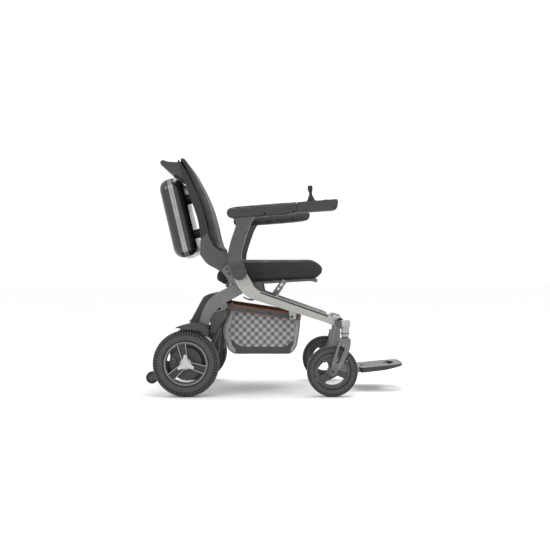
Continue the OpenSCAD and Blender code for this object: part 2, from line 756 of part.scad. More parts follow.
// Four posts that carry the pod on the backrest's shell
module pod_posts() color("#2e2c2a") difference() {
    on_pod() for (z = [90, 240], y = [-70, 70]) translate([47, y, z]) rotate([0, 90, 0])
        cylinder(r = 14, h = 60);
    slab(-back_half_w, back_half_w) polygon(shift(concat(backwards(curve(shell_face)), [[0, 506],
        [0, 142]]), fold_pivot));
}

module pod_band() color("#b8b8b8") on_pod() pod_plate(-band_w / 2, band_w, 0);

// ---- Armrests ----

pad_rise = 0.08;
pad_rear = arm_pivot + [-50, 233];
pad_front = pad_rear + [275, 275 * pad_rise];
controller_y = pad_mid;

module arm_post_outline() {
    rear = [[-29, 0], [-40, 23], [-43, 48], [-43, 79], [-33, 124], [-13, 186], [-20, 205], [-34, 222]];
    front = [[62, 222], [44, 190], [18, 114], [9, 72], [12, 44], [20, 28], [28, 0]];
    polygon(shift(concat(curve(rear), curve(front)), arm_pivot));
    disc(arm_pivot, 28.5);
}

// Side view of the pad, drawn smaller by t all round
module pad_outline(t) {
    low = arm_pad_t - 19;
    polygon([
        pad_rear + [18, 18 * pad_rise + 19 - t], pad_front + [-t, 19 - t],
        pad_front + [-t, t - low], pad_rear + [18, 18 * pad_rise + t - low]
    ]);
    disc(pad_rear + [arm_pad_t / 2, arm_pad_t / 2 * pad_rise + 19 - arm_pad_t / 2], arm_pad_t / 2 - t);
}

module arm(s) color("#494949") side(s) {
    difference() {
        slab(arm_in, arm_out) difference() {
            arm_post_outline();
            pad_outline(0);
        }
        rod(arm_pivot, pin_r + fit, arm_in - 1, arm_out - 4 + fit);
    }
    rod(arm_pivot, 21, arm_out, arm_out + 1);
}

module arm_pad(s) color("#3e3e3e") side(s) slab(pad_mid - arm_pad_w / 2, pad_mid + arm_pad_w / 2)
    pad_outline(0.3);

module arm_pad_left() {
    arm_pad(1);
    color("#2a2a2a") slab(pad_mid - arm_pad_w / 2, pad_mid + arm_pad_w / 2) polygon(concat(
        [pad_front + [-1, 18.7]],
        curve([pad_front + [60, 23], pad_front + [72, 14], pad_front + [68, -8], pad_front + [56, -16]]),
        [pad_front + [-1, -21]]
    ));
}

stick_at = pad_front + [55, 19 + 55 * pad_rise];
pad_tilt = atan(pad_rise);
button_at = pad_front + [controller_l - 45, 19 + (controller_l - 45) * pad_rise];
module on_controller(p) translate([p[0], -controller_y, p[1]]) rotate([0, -pad_tilt, 0]) children();

module controller() color("#333333") difference() {
    slab(-controller_y - 27, -controller_y + 27) {
        top = [pad_front + [controller_l - 6, 18.5 + controller_l * pad_rise],
            pad_front + [controller_l, 26],
            pad_front + [controller_l, 8], pad_front + [controller_l - 6, -7],
                pad_front + [controller_l - 20, -12]];
        polygon(concat([pad_front + [0, 18.6]], curve(top), [pad_front + [60, -17], pad_front + [0, -21]]));
    }
    on_controller(stick_at) translate([0, 0, -22]) cylinder(r = 16, h = 30);
    on_controller(stick_at) translate([-19, 0, -gimbal_drop]) rotate([0, 90, 0])
        cylinder(r = 1.6 + fit, h = 38);
    on_controller(button_at) translate([0, 0, -6]) cylinder(r = 6.3, h = 12);
}

stick_h = 62;
gimbal_drop = 10;

module joystick_gimbal() color("#555555") on_controller(stick_at) translate([0, 0, -gimbal_drop]) {
    difference() {
        cylinder(r = 11, h = 6, center = true);
        cylinder(r = 8.6, h = 8, center = true);
        rotate([90, 0, 0]) cylinder(r = 1.5 + fit, h = 24, center = true);
    }
    for (a = [0, 180]) rotate([0, 0, a]) translate([10.5, 0, 0]) rotate([0, 90, 0])
        cylinder(r = 1.6, h = 7.5);
}

module joystick() color("#222222") on_controller(stick_at) translate([0, 0, -gimbal_drop]) {
    for (a = [90, 270]) rotate([0, 0, a]) translate([3, 0, 0]) rotate([0, 90, 0])
        cylinder(r = 1.5, h = 7.5);
    rotate_extrude() polygon([
        [0, -5], [4, -5], [4, 22], [5.5, 34], [6, 46], [9.5, 56],
        [9.5, stick_h + gimbal_drop - 3], [7, stick_h + gimbal_drop], [0, stick_h + gimbal_drop]
    ]);
}

module joystick_boot() color("#1f1f1f") on_controller(stick_at) rotate_extrude() polygon([
    [19.5, 0.2], [19.5, 3], [15, 8], [13, 14], [8.5, 20], [6.4, 26], [5.6, 26], [7.6, 19], [12, 12],
        [14, 6], [16.5, 0.2]
]);

module power_button() color("#777777") on_controller(button_at) translate([0, 0, -4])
    cylinder(r = 6.22, h = 7);

// ---- Footplate ----

plate_gap = 15;

module footplate_plan() {
    x0 = foot_pivot[0] + plate_gap;
    x1 = foot_pivot[0] + footplate_l;
    w = footplate_half_w;
    edge = concat([[x0, w - 10], [x0 + 10, w]], curve([[x1 - 70, w - 3], [x1 - 26, w - 10],
        [x1 - 7, w - 26],
        [x1 - 1, w - 60], [x1, 0]]));
    polygon(concat(edge, [for (i = [len(edge) - 1 : -1 : 0]) [edge[i][0], -edge[i][1]]]));
}

module footplate() color("#777777") {
    rise = 0.098;
    x0 = foot_pivot[0] + plate_gap;
    l = footplate_l - plate_gap;
    intersection() {
        linear_extrude(foot_pivot[1] + 60) difference() {
            footplate_plan();
            translate([foot_pivot[0] + footplate_l, 0]) polygon([[-73, -16], [-73, 16], [-58, 16],
                [-58, 60],
                [-46, 60], [-31, 14], [-31, -14], [-46, -60], [-58, -60], [-58, -16]]);
            translate([x0 + 6, -14]) square([14, 28]);
        }
        slab(-footplate_half_w, footplate_half_w) polygon([
            [x0, foot_pivot[1] - 10], [x0 + l * 0.55, foot_pivot[1] + 1], [x0 + l, foot_pivot[1] + 19],
            [x0 + l, foot_pivot[1] + 10 + l * rise], [x0, foot_pivot[1] + 10]
        ]);
    }
    difference() {
        slab(-hanger_in + 2, hanger_in - 2) {
            disc(foot_pivot, 10);
            polygon([foot_pivot + [0, 10], foot_pivot + [16, 10], foot_pivot + [16, -10],
                foot_pivot + [0, -10]]);
        }
        rod(foot_pivot, foot_pin_r + fit, -hanger_in, hanger_in);
    }
}

side_beams();
cross_tubes();
head_blocks();
head_tubes();
footrest_hanger();
frame_brackets();
uprights();
fold_lever();
pins_and_stops();
rear_legs();
rear_cross_tube();
power_housing();
mudguards();
shock_bodies();
swing_arm(1);  // swing_arm_left
swing_arm(-1);  // swing_arm_right
motor(1);  // motor_left
motor(-1);  // motor_right
shock_rod(1);  // shock_rod_left
shock_rod(-1);  // shock_rod_right
anti_tip_arm(1);  // anti_tip_arm_left
anti_tip_arm(-1);  // anti_tip_arm_right
clutch_knob(1);  // clutch_knob_left
clutch_knob(-1);  // clutch_knob_right
drive_tyre(1);  // drive_tyre_left
drive_tyre(-1);  // drive_tyre_right
drive_rim(1);  // drive_rim_left
drive_rim(-1);  // drive_rim_right
hub_cap(1);  // hub_cap_left
hub_cap(-1);  // hub_cap_right
anti_tip_wheel(1);  // anti_tip_wheel_left
anti_tip_wheel(-1);  // anti_tip_wheel_right
caster_fork(1);  // caster_fork_left
caster_fork(-1);  // caster_fork_right
caster_tyre(1);  // caster_tyre_left
caster_tyre(-1);  // caster_tyre_right
caster_rim(1);  // caster_rim_left
caster_rim(-1);  // caster_rim_right
cargo_rails();
rail_trims();
basket();
seat_cushion();
seat_pan();
tilt_struts();
back_shell();
back_pad();
back_brackets();
push_handle();
pod_shells();
pod_band();
arm(1);  // arm_left
arm(-1);  // arm_right
arm_pad_left();
arm_pad(-1);  // arm_pad_right
controller();
joystick_gimbal();
joystick();
joystick_boot();
power_button();
footplate();
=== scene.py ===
import json
import math
import bpy
import bmesh
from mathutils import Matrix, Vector, noise

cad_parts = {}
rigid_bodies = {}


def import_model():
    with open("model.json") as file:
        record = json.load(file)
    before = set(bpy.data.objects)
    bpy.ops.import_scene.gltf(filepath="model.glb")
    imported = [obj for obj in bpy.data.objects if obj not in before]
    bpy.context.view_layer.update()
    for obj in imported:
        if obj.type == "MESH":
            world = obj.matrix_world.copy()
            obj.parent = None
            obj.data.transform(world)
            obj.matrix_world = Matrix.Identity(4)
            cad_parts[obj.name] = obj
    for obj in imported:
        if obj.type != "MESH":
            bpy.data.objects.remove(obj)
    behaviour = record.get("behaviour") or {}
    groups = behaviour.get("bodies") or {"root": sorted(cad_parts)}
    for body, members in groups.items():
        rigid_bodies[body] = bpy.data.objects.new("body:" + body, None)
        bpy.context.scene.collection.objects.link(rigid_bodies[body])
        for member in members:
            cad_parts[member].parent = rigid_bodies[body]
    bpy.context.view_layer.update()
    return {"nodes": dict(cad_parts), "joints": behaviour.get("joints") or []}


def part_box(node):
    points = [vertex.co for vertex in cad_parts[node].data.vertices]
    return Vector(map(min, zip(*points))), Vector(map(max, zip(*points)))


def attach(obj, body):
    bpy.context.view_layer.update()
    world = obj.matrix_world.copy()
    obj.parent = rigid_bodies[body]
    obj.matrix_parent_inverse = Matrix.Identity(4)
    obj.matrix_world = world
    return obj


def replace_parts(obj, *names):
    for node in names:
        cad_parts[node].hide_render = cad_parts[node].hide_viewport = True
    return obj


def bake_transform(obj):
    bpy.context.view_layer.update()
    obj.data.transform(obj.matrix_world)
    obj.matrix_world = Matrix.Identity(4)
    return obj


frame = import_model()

nodes = frame["nodes"]
joints = {j["name"]: j for j in frame["joints"]}
scene = bpy.context.scene
SIDES = (("left", 1), ("right", -1))


def pivot(name):
    p = joints[name]["pos_m"]
    return Vector((p[0], 0, p[2]))


FOLD = pivot("main_fold")
SEAT = pivot("seat_tilt")
ARM = pivot("armrest_left_flip")
RAIL = pivot("cargo_level")
DRIVE = pivot("drive_spin_left")
CASTER = pivot("caster_spin_left")
DRIVE_Y = joints["drive_spin_left"]["pos_m"][1]
CASTER_Y = joints["caster_spin_left"]["pos_m"][1]
SWIVEL_X = joints["caster_swivel_left"]["pos_m"][0]


# ---- Camera and light ----

EYE = (-0.0085, -3.577, 0.475)
LENS_MM = 55.5


def camera():
    """Square on to the chair's right side, a little above its seat."""
    data = bpy.data.cameras.new("camera")
    data.lens = LENS_MM
    data.sensor_width = 36
    data.clip_end = 50
    cam = bpy.data.objects.new("camera", data)
    scene.collection.objects.link(cam)
    cam.location = EYE
    cam.rotation_euler = (math.pi / 2, 0, 0)
    scene.camera = cam


def area(name, loc, target, size, power):
    data = bpy.data.lights.new(name, "AREA")
    data.shape = "RECTANGLE"
    data.size, data.size_y = size
    data.energy = power
    lamp = bpy.data.objects.new(name, data)
    scene.collection.objects.link(lamp)
    lamp.location = loc
    lamp.rotation_euler = (Vector(target) - Vector(loc)).to_track_quat("-Z", "Y").to_euler()


camera()
scene.view_settings.view_transform = "Standard"


# ---- Materials ----

def grey(v):
    """Linear value of an 8-bit display value."""
    v /= 255
    return ((v + 0.055) / 1.055) ** 2.4 if v > 0.04045 else v / 12.92


UNDER_LIGHTS = 0.62  # the studio shows a surface this much brighter than its own colour


def rgb(r, g=None, b=None):
    """A colour from 8-bit display values; one value alone is a grey."""
    g = r if g is None else g
    b = g if b is None else b
    return (grey(r) * UNDER_LIGHTS, grey(g) * UNDER_LIGHTS, grey(b) * UNDER_LIGHTS, 1)


def shade(colour, k):
    return (colour[0] * k, colour[1] * k, colour[2] * k, 1)


class Shader:
    """One procedural material, with its texture nodes in object space, which is metres."""

    def __init__(self, name, rough=0.5, metal=0.0, coat=0.0, sheen=0.0, level=0.5):
        self.mat = bpy.data.materials.new(name)
        self.mat.use_nodes = True
        self.tree = self.mat.node_tree
        self.bsdf = self.tree.nodes["Principled BSDF"]
        self.bsdf.inputs["Roughness"].default_value = rough
        self.bsdf.inputs["Metallic"].default_value = metal
        self.bsdf.inputs["Coat Weight"].default_value = coat
        self.bsdf.inputs["Coat Roughness"].default_value = 0.12
        self.bsdf.inputs["Sheen Weight"].default_value = sheen
        self.bsdf.inputs["Sheen Roughness"].default_value = 0.4
        self.bsdf.inputs["Specular IOR Level"].default_value = level
        self.place = self.node("ShaderNodeTexCoord").outputs["Object"]
        self.normal = None

    def node(self, kind, **values):
        n = self.tree.nodes.new(kind)
        for key, value in values.items():
            setattr(n, key, value)
        return n

    def wire(self, a, b):
        self.tree.links.new(a, b)

    def math(self, op, a, b=0.0, c=None):
        n = self.node("ShaderNodeMath", operation=op)
        for i, v in enumerate((a, b) if c is None else (a, b, c)):
            if isinstance(v, (int, float)):
                n.inputs[i].default_value = v
            else:
                self.wire(v, n.inputs[i])
        return n.outputs[0]

    def axes(self):
        n = self.node("ShaderNodeSeparateXYZ")
        self.wire(self.place, n.inputs[0])
        return n.outputs

    def stretch(self, sx, sy, sz, angle=0.0):
        n = self.node("ShaderNodeMapping")
        n.inputs["Scale"].default_value = (sx, sy, sz)
        n.inputs["Rotation"].default_value = (0, angle, 0)
        self.wire(self.place, n.inputs[0])
        return n.outputs[0]

    def noise(self, scale, detail=3.0, rough=0.55, at=None):
        n = self.node("ShaderNodeTexNoise")
        n.inputs["Scale"].default_value = scale
        n.inputs["Detail"].default_value = detail
        n.inputs["Roughness"].default_value = rough
        self.wire(self.place if at is None else at, n.inputs["Vector"])
        return n.outputs["Fac"]

    def cells(self, scale, feature="F1", at=None):
        n = self.node("ShaderNodeTexVoronoi", feature=feature)
        n.inputs["Scale"].default_value = scale
        self.wire(self.place if at is None else at, n.inputs["Vector"])
        return n.outputs["Distance"]

    def span(self, value, low, high, out_low=0.0, out_high=1.0):
        n = self.node("ShaderNodeMapRange")
        n.inputs["From Min"].default_value = low
        n.inputs["From Max"].default_value = high
        n.inputs["To Min"].default_value = out_low
        n.inputs["To Max"].default_value = out_high
        self.wire(value, n.inputs["Value"])
        return n.outputs["Result"]

    def mix(self, fac, a, b):
        n = self.node("ShaderNodeMix", data_type="RGBA")
        self.wire(fac, n.inputs["Factor"])
        for socket, v in ((n.inputs[6], a), (n.inputs[7], b)):
            if isinstance(v, tuple):
                socket.default_value = v
            else:
                self.wire(v, socket)
        return n.outputs[2]

    def colour(self, value):
        if isinstance(value, tuple):
            self.bsdf.inputs["Base Color"].default_value = value
        else:
            self.wire(value, self.bsdf.inputs["Base Color"])

    def roughness(self, value):
        self.wire(value, self.bsdf.inputs["Roughness"])

    def bump(self, height, strength, distance):
        n = self.node("ShaderNodeBump")
        n.inputs["Strength"].default_value = strength
        n.inputs["Distance"].default_value = distance
        self.wire(height, n.inputs["Height"])
        if self.normal:
            self.wire(self.normal, n.inputs["Normal"])
        self.normal = n.outputs[0]
        self.wire(self.normal, self.bsdf.inputs["Normal"])

    def edge_wear_and_highlight(self, base, pale, low=0.52, high=0.62):
        """base with paler convex edges, broken up by a fine noise: partly rubbed wear, partly a painted
        highlight along the edges.
        """
        edge = self.node("ShaderNodeNewGeometry").outputs["Pointiness"]
        wear_and_highlight_mask = self.span(edge, low, high)
        return self.mix(self.math("MULTIPLY", wear_and_highlight_mask, self.noise(90, 4)), base, pale)


def two_tone(s, a, b, scale, detail=4.0):
    return s.mix(s.span(s.noise(scale, detail), 0.3, 0.7), a, b)


def paint(name, dark, light, pale, rough=0.38, coat=0.15, metal=0.0):
    s = Shader(name, rough, metal, coat)
    base = two_tone(s, dark, light, 14)
    s.colour(s.edge_wear_and_highlight(base, pale))
    s.roughness(s.span(s.noise(60, 5), 0.3, 0.7, rough - 0.06, rough + 0.10))
    s.bump(s.noise(900, 2), 0.10, 0.0004)
    return s.mat


def moulded(name, dark, light, rough=0.5, grain=1500, depth=0.14, coat=0.0):
    s = Shader(name, rough, 0, coat)
    s.colour(s.edge_wear_and_highlight(two_tone(s, dark, light, 22), shade(light, 1.5)))
    s.roughness(s.span(s.noise(120, 4), 0.3, 0.7, rough - 0.08, rough + 0.08))
    s.bump(s.cells(grain), depth, 0.0003)
    return s.mat


def rubber(name, dark, light, rough=0.72, shade_grooves=False):
    """grooved reads the mesh's attribute groove, which is 1 at the bottom of a tread slot and next to the rim,
    and darkens the rubber there: painted shade in the slots and where the tyre meets the rim.
    """
    s = Shader(name, rough, sheen=0.15, level=0.35)
    base = two_tone(s, dark, light, 45, 6)
    if shade_grooves:
        shaded_groove = s.node("ShaderNodeAttribute", attribute_name="shaded_groove").outputs["Fac"]
        # Painted shade: the tread slots and the band next to the rim are darkened almost to black.
        base = s.mix(shaded_groove, base, shade(dark, 0.12))
    s.colour(base)
    s.roughness(s.span(s.noise(200, 4), 0.3, 0.7, rough - 0.1, rough + 0.1))
    s.bump(s.noise(1100, 3), 0.25, 0.0004)
    return s.mat


def metal(name, tone, rough=0.3):
    s = Shader(name, rough, 1.0)
    s.colour(two_tone(s, tone, shade(tone, 0.8), 30))
    s.roughness(s.span(s.noise(220, 5), 0.3, 0.7, rough - 0.08, rough + 0.12))
    s.bump(s.noise(700, 3), 0.08, 0.0002)
    return s.mat


def leather(name, dark, light, rough=0.5, sheen=0.1):
    s = Shader(name, rough, coat=0.04, sheen=sheen)
    s.colour(two_tone(s, dark, light, 25, 5))
    s.roughness(s.span(s.noise(70, 5), 0.3, 0.7, rough - 0.1, rough + 0.12))
    s.bump(s.cells(420, "SMOOTH_F1"), 0.35, 0.0006)
    s.bump(s.noise(34, 4), 0.25, 0.002)
    return s.mat


def woven(name, dark, light, pitch=0.0024):
    """Cloth with threads at that pitch, in metres."""
    s = Shader(name, 0.85, sheen=0.35, level=0.3)
    x, y, z = s.axes()
    k = 2 * math.pi / pitch
    across = s.math("SINE", s.math("MULTIPLY", s.math("ADD", x, z), k))
    along = s.math("SINE", s.math("MULTIPLY", s.math("ADD", y, s.math("MULTIPLY", z, 0.6)), k))
    weave = s.math("MULTIPLY", across, along)
    base = two_tone(s, dark, light, 30, 6)
    s.colour(s.mix(s.span(weave, -1, 1, 0, 0.5), base, shade(light, 1.4)))
    s.bump(weave, 0.5, 0.0006)
    s.bump(s.noise(26, 4), 0.25, 0.003)
    return s.mat


QUILT = 0.032  # pitch of the quilting
REAR_TRIM, FRONT_TRIM, HEM = 0.020, 0.014, 0.027  # widths of the basket side's borders


def basket_cloth(name, dark, light, trim, hem):
    """Quilted mesh inside light borders, over a dark hem that rises at both ends. The mesh holds the
    attribute edge: each point's distance from the panel's rear, front and lower seams, in metres."""
    s = Shader(name, 0.8, sheen=0.2, level=0.3)
    x, y, z = s.axes()
    k = 2 * math.pi / QUILT
    a = s.math("COSINE", s.math("MULTIPLY", s.math("SUBTRACT", x, RAIL.x), k))
    b = s.math("COSINE", s.math("MULTIPLY", s.math("SUBTRACT", z, RAIL.z), k))
    holes = s.cells(560)
    cloth = s.mix(s.span(s.math("MULTIPLY", a, b), -0.7, 0.7), dark, light)
    cloth = s.mix(s.span(holes, 0.08, 0.4), shade(dark, 0.55), cloth)
    split = s.node("ShaderNodeSeparateXYZ")
    s.wire(s.node("ShaderNodeAttribute", attribute_name="edge").outputs["Vector"], split.inputs[0])
    rear, front, low = split.outputs
    rise = s.math("ADD", s.span(rear, REAR_TRIM, REAR_TRIM + 0.032, 0.019, 0),
                  s.span(front, FRONT_TRIM, 0.045, 0.011, 0))
    above_hem = s.math("SUBTRACT", low, s.math("ADD", rise, HEM))
    cloth = s.mix(s.span(above_hem, -0.0005, 0.0005), hem, cloth)
    from_trim = s.math("MINIMUM", s.math("SUBTRACT", rear, REAR_TRIM), s.math("SUBTRACT", front, FRONT_TRIM))
    cloth = s.mix(s.span(from_trim, -0.0005, 0.0005), trim, cloth)
    line = s.math("MINIMUM", s.math("ABSOLUTE", above_hem), s.math("ABSOLUTE", from_trim))
    stitch = s.math("MULTIPLY", s.span(line, 0.0016, 0.0009, 0, 0.5), s.span(s.noise(260, 2), 0.42, 0.58))
    s.colour(s.mix(stitch, cloth, shade(hem, 0.6)))
    s.bump(holes, 0.35, 0.0005)
    s.bump(s.span(line, 0.0, 0.003), 0.6, 0.0012)
    s.bump(s.noise(40, 3), 0.2, 0.001)
    return s.mat


def silver_paint():
    """Warm metallic lacquer with a fine flake."""
    s = Shader("beam_silver", 0.36, metal=0.55, coat=0.25)
    base = two_tone(s, rgb(162, 160, 152), rgb(178, 176, 168), 9)
    flake = s.span(s.cells(2600), 0.0, 0.5, 0.9, 1.05)
    n = s.node("ShaderNodeMix", data_type="RGBA", blend_type="MULTIPLY")
    n.inputs["Factor"].default_value = 1.0
    s.wire(s.edge_wear_and_highlight(base, rgb(215)), n.inputs[6])
    s.wire(flake, n.inputs[7])
    s.colour(n.outputs[2])
    s.roughness(s.span(s.noise(70, 5), 0.3, 0.7, 0.3, 0.44))
    s.bump(s.noise(800, 2), 0.06, 0.0003)
    return s.mat


RAIL_SLOPE = math.radians(-8.4)


def rail_metal():
    """Extruded rail, with grooves that run along its length."""
    s = Shader("rail_extrusion", 0.42, metal=0.25, coat=0.1)
    s.colour(s.edge_wear_and_highlight(two_tone(s, rgb(84, 88, 92), rgb(98, 103, 108), 20), rgb(150)))
    s.roughness(s.span(s.noise(90, 5), 0.3, 0.7, 0.36, 0.5))
    s.bump(s.noise(30, 4, at=s.stretch(0.4, 1, 30, RAIL_SLOPE)), 0.3, 0.0008)
    return s.mat


M = {
    "silver": silver_paint(),
    "silver_light": paint("bright_silver", rgb(170, 168, 164), rgb(188, 186, 182), rgb(220), 0.34, 0.3, 0.3),
    "grey": paint("leg_grey", rgb(92), rgb(102), rgb(140)),
    "arm_grey": paint("arm_grey", rgb(48), rgb(56), rgb(100), 0.42),
    "hanger": paint("hanger_grey", rgb(110, 109, 106), rgb(124, 123, 120), rgb(170), 0.34, 0.25, 0.2),
    "seat_rail": paint("seat_rail_grey", rgb(72), rgb(84), rgb(140), 0.34, 0.25, 0.25),
    "dark": paint("dark_frame", rgb(52), rgb(60), rgb(100)),
    "black": paint("black_coat", rgb(30), rgb(38), rgb(80), 0.45),
    "plastic": moulded("dark_plastic", rgb(44), rgb(52), 0.52),
    "shell": moulded("shell_plastic", rgb(18), rgb(26), 0.42),
    "motor": moulded("motor_case", rgb(50), rgb(60), 0.45),
    "rim": paint("rim_grey", rgb(92), rgb(102), rgb(140), 0.4, 0.2, 0.15),
    "caster_rim": paint("caster_rim_grey", rgb(56), rgb(66), rgb(110), 0.45),
    "pod": moulded("pod_gloss", rgb(20, 19, 17), rgb(28, 27, 25), 0.22, 2200, 0.03, 0.6),
    "pod_front": moulded("pod_front_gloss", rgb(34, 33, 31), rgb(44, 42, 40), 0.3, 2200, 0.03, 0.4),
    "band": metal("pod_band_metal", rgb(205), 0.36),
    "steel": metal("bright_steel", rgb(200), 0.22),
    "cap": paint("cap_silver", rgb(192, 190, 186), rgb(206, 204, 200), rgb(230), 0.3, 0.35, 0.2),
    "tyre": rubber("tyre_rubber", rgb(74), rgb(86), shade_grooves=True),
    "soft_rubber": rubber("soft_rubber", rgb(36), rgb(44), 0.6),
    "rail": rail_metal(),
    "brown": leather("brown_leather", rgb(104, 58, 26), rgb(128, 76, 38), 0.55),
    "arm_leather": leather("arm_leather", rgb(42), rgb(52), 0.46),
    "back_leather": leather("back_leather", rgb(38), rgb(46), 0.6, 0.0),
    "seat_cloth": woven("seat_cloth", rgb(46), rgb(56)),
    "mesh": basket_cloth("quilted_mesh", rgb(112), rgb(196), rgb(176), rgb(84)),
    "basket_wall": woven("basket_wall_cloth", rgb(150), rgb(168), 0.0020),
    "hem": woven("basket_hem_cloth", rgb(74), rgb(84), 0.0018),
    "piping": woven("basket_piping", rgb(128), rgb(146), 0.0014),
    # Dark paint for the channel between each spoke's ridges on the drive rims: painted shade in the recess.
    "spoke_recess_shade": paint("spoke_channel", rgb(34), rgb(42), rgb(70), 0.5),
    "plate_top": moulded("footplate_top", rgb(98), rgb(112), 0.5, 700, 0.3),
    "orange": paint("release_mark", rgb(220, 120, 70), rgb(235, 140, 90), rgb(245)),
    "screw": metal("dark_screws", rgb(60), 0.35),
}


# ---- CAD nodes that keep their shape ----

def round_edges(o, width, degrees, segments=2):
    b = o.modifiers.new("rounded_edges", "BEVEL")
    b.width = width
    b.segments = segments
    b.limit_method = "ANGLE"
    b.angle_limit = math.radians(degrees)
    b.harden_normals = False
    b.use_clamp_overlap = True


def split_edges(o, degrees):
    """Edges sharper than this stay crisp under smooth shading."""
    e = o.modifiers.new("sharp_edges", "EDGE_SPLIT")
    e.split_angle = math.radians(degrees)
    e.use_edge_sharp = False


def dress(name, key, width):
    """A CAD node with rounded edges, smooth curved faces and its own material."""
    o = nodes[name]
    o.data.materials.clear()
    o.data.materials.append(M[key])
    round_edges(o, width, 32)
    for p in o.data.polygons:
        p.use_smooth = True
    split_edges(o, 38)


for name, key, width in (
    ("side_beams", "silver", 0.0022), ("cross_tubes", "hanger", 0.0008), ("head_blocks", "dark", 0.0018),
    ("head_tubes", "silver_light", 0.0012), ("footrest_hanger", "hanger", 0.0022),
    ("frame_brackets", "silver_light", 0.001), ("uprights", "grey", 0.0014),
    ("fold_lever", "plastic", 0.0012), ("pins_and_stops", "black", 0.0008), ("rear_legs", "grey", 0.0022),
    ("rear_cross_tube", "dark", 0.0008), ("power_housing", "plastic", 0.004),
    ("mudguards", "plastic", 0.0008), ("shock_bodies", "black", 0.001), ("cargo_rails", "rail", 0.0008),
    ("rail_trims", "brown", 0.0006), ("seat_pan", "seat_rail", 0.001), ("tilt_struts", "hanger", 0.0005),
    ("back_shell", "shell", 0.003), ("back_brackets", "arm_grey", 0.0022),
    ("push_handle", "plastic", 0.002), ("pod_band", "band", 0.0012), ("arm_left", "arm_grey", 0.0028),
    ("arm_right", "arm_grey", 0.0028), ("controller", "plastic", 0.0024),
    ("joystick_gimbal", "steel", 0.0003), ("joystick", "soft_rubber", 0.0006),
    ("power_button", "plastic", 0.0006), ("footplate", "plate_top", 0.0035),
):
    dress(name, key, width)
for side, _ in SIDES:
    for name, key, width in (
        ("swing_arm", "black", 0.0014), ("motor", "motor", 0.0016), ("shock_rod", "steel", 0.0006),
        ("anti_tip_arm", "black", 0.0012), ("clutch_knob", "plastic", 0.0012), ("drive_rim", "rim", 0.0008),
        ("hub_cap", "cap", 0.0012), ("anti_tip_wheel", "soft_rubber", 0.002),
        ("caster_fork", "grey", 0.0014), ("caster_rim", "caster_rim", 0.001),
    ):
        dress(name + "_" + side, key, width)


def part_of(name, key, wanted):
    """A second material on those faces of a CAD node for which wanted(polygon) is true."""
    mesh = nodes[name].data
    mesh.materials.append(M[key])
    for p in mesh.polygons:
        if wanted(p):
            p.material_index = len(mesh.materials) - 1


def on_rim(offset):
    """Picks the rim's outward faces that lie this far out from the middle of the wheel."""
    return lambda p: abs(abs(p.center.y) - DRIVE_Y - offset) < 0.001 and abs(p.normal.y) > 0.9


SPOKE_CHANNEL, SPOKE_RIDGE = 0.013, 0.018
part_of("frame_brackets", "arm_grey",
        lambda p: p.center.z > SEAT.z - 0.040 and p.center.x < SEAT.x + 0.12)
part_of("cargo_rails", "brown", lambda p: p.normal.y * p.center.y < -0.01 and abs(p.normal.y) > 0.8)
part_of("footplate", "plastic", lambda p: p.normal.z < 0.6)
# Each drive rim's spokes: the channel faces get the dark paint, painted shade in the recess, and the ridge tops
# bright silver, a painted highlight.
for side, _ in SIDES:
    part_of("drive_rim_" + side, "spoke_recess_shade", on_rim(SPOKE_CHANNEL))
    part_of("drive_rim_" + side, "silver_light", on_rim(SPOKE_RIDGE))


# ---- Mesh helpers ----

def add(name, verts, faces, key, body, smooth=True, keys=None, slots=None, recalc=True):
    """A new piece in the row frame that rides on a body. keys and slots give it more than one material."""
    mesh = bpy.data.meshes.new(name)
    mesh.from_pydata([tuple(v) for v in verts], [], faces)
    mesh.validate()
    for k in keys or [key]:
        mesh.materials.append(M[k])
    if slots:
        for p, s in zip(mesh.polygons, slots):
            p.material_index = s
    for p in mesh.polygons:
        p.use_smooth = smooth
    o = bpy.data.objects.new(name, mesh)
    scene.collection.objects.link(o)
    if recalc:
        bm = bmesh.new()
        bm.from_mesh(mesh)
        bmesh.ops.recalc_face_normals(bm, faces=bm.faces)
        bm.to_mesh(mesh)
        bm.free()
    if body:
        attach(o, body)
    return o


def turn(count):
    """Equal angles round a full turn."""
    return [2 * math.pi * k / count for k in range(count)]


def loft(rings, caps=True):
    """Vertices and faces of a skin through closed rings of equal length."""
    n = len(rings[0])
    verts = [v for ring in rings for v in ring]
    faces = []
    for i in range(len(rings) - 1):
        for j in range(n):
            k = (j + 1) % n
            faces.append((i * n + j, i * n + k, (i + 1) * n + k, (i + 1) * n + j))
    if caps:
        faces.append(tuple(range(n - 1, -1, -1)))
        faces.append(tuple(range((len(rings) - 1) * n, len(rings) * n)))
    return verts, faces


def turned(profile, centre, steps=96, rib=None):
    """A lathe form about the Y axis through centre, from (radius, offset) points. rib(step, radius,
    offset) gives a point's new radius and offset."""
    verts = []
    for i, a in enumerate(turn(steps)):
        for r, off in profile:
            if rib:
                r, off = rib(i, r, off)
            verts.append(centre + Vector((r * math.cos(a), off, r * math.sin(a))))
    n = len(profile)
    faces = []
    for i in range(steps):
        k = (i + 1) % steps
        for j in range(n - 1):
            faces.append((i * n + j, i * n + j + 1, k * n + j + 1, k * n + j))
    return verts, faces


def smooth_path(points, per=6):
    """Catmull-Rom points through a list of 2-D or 3-D points."""
    p = [Vector(q) for q in points]
    out = []
    for i in range(len(p) - 1):
        a, b, c, d = p[max(i - 1, 0)], p[i], p[i + 1], p[min(i + 2, len(p) - 1)]
        for k in range(per):
            t = k / per
            out.append(0.5 * (2 * b + (c - a) * t + (2 * a - 5 * b + 4 * c - d) * t * t
                              + (3 * b - a - 3 * c + d) * t ** 3))
    out.append(p[-1])
    return out


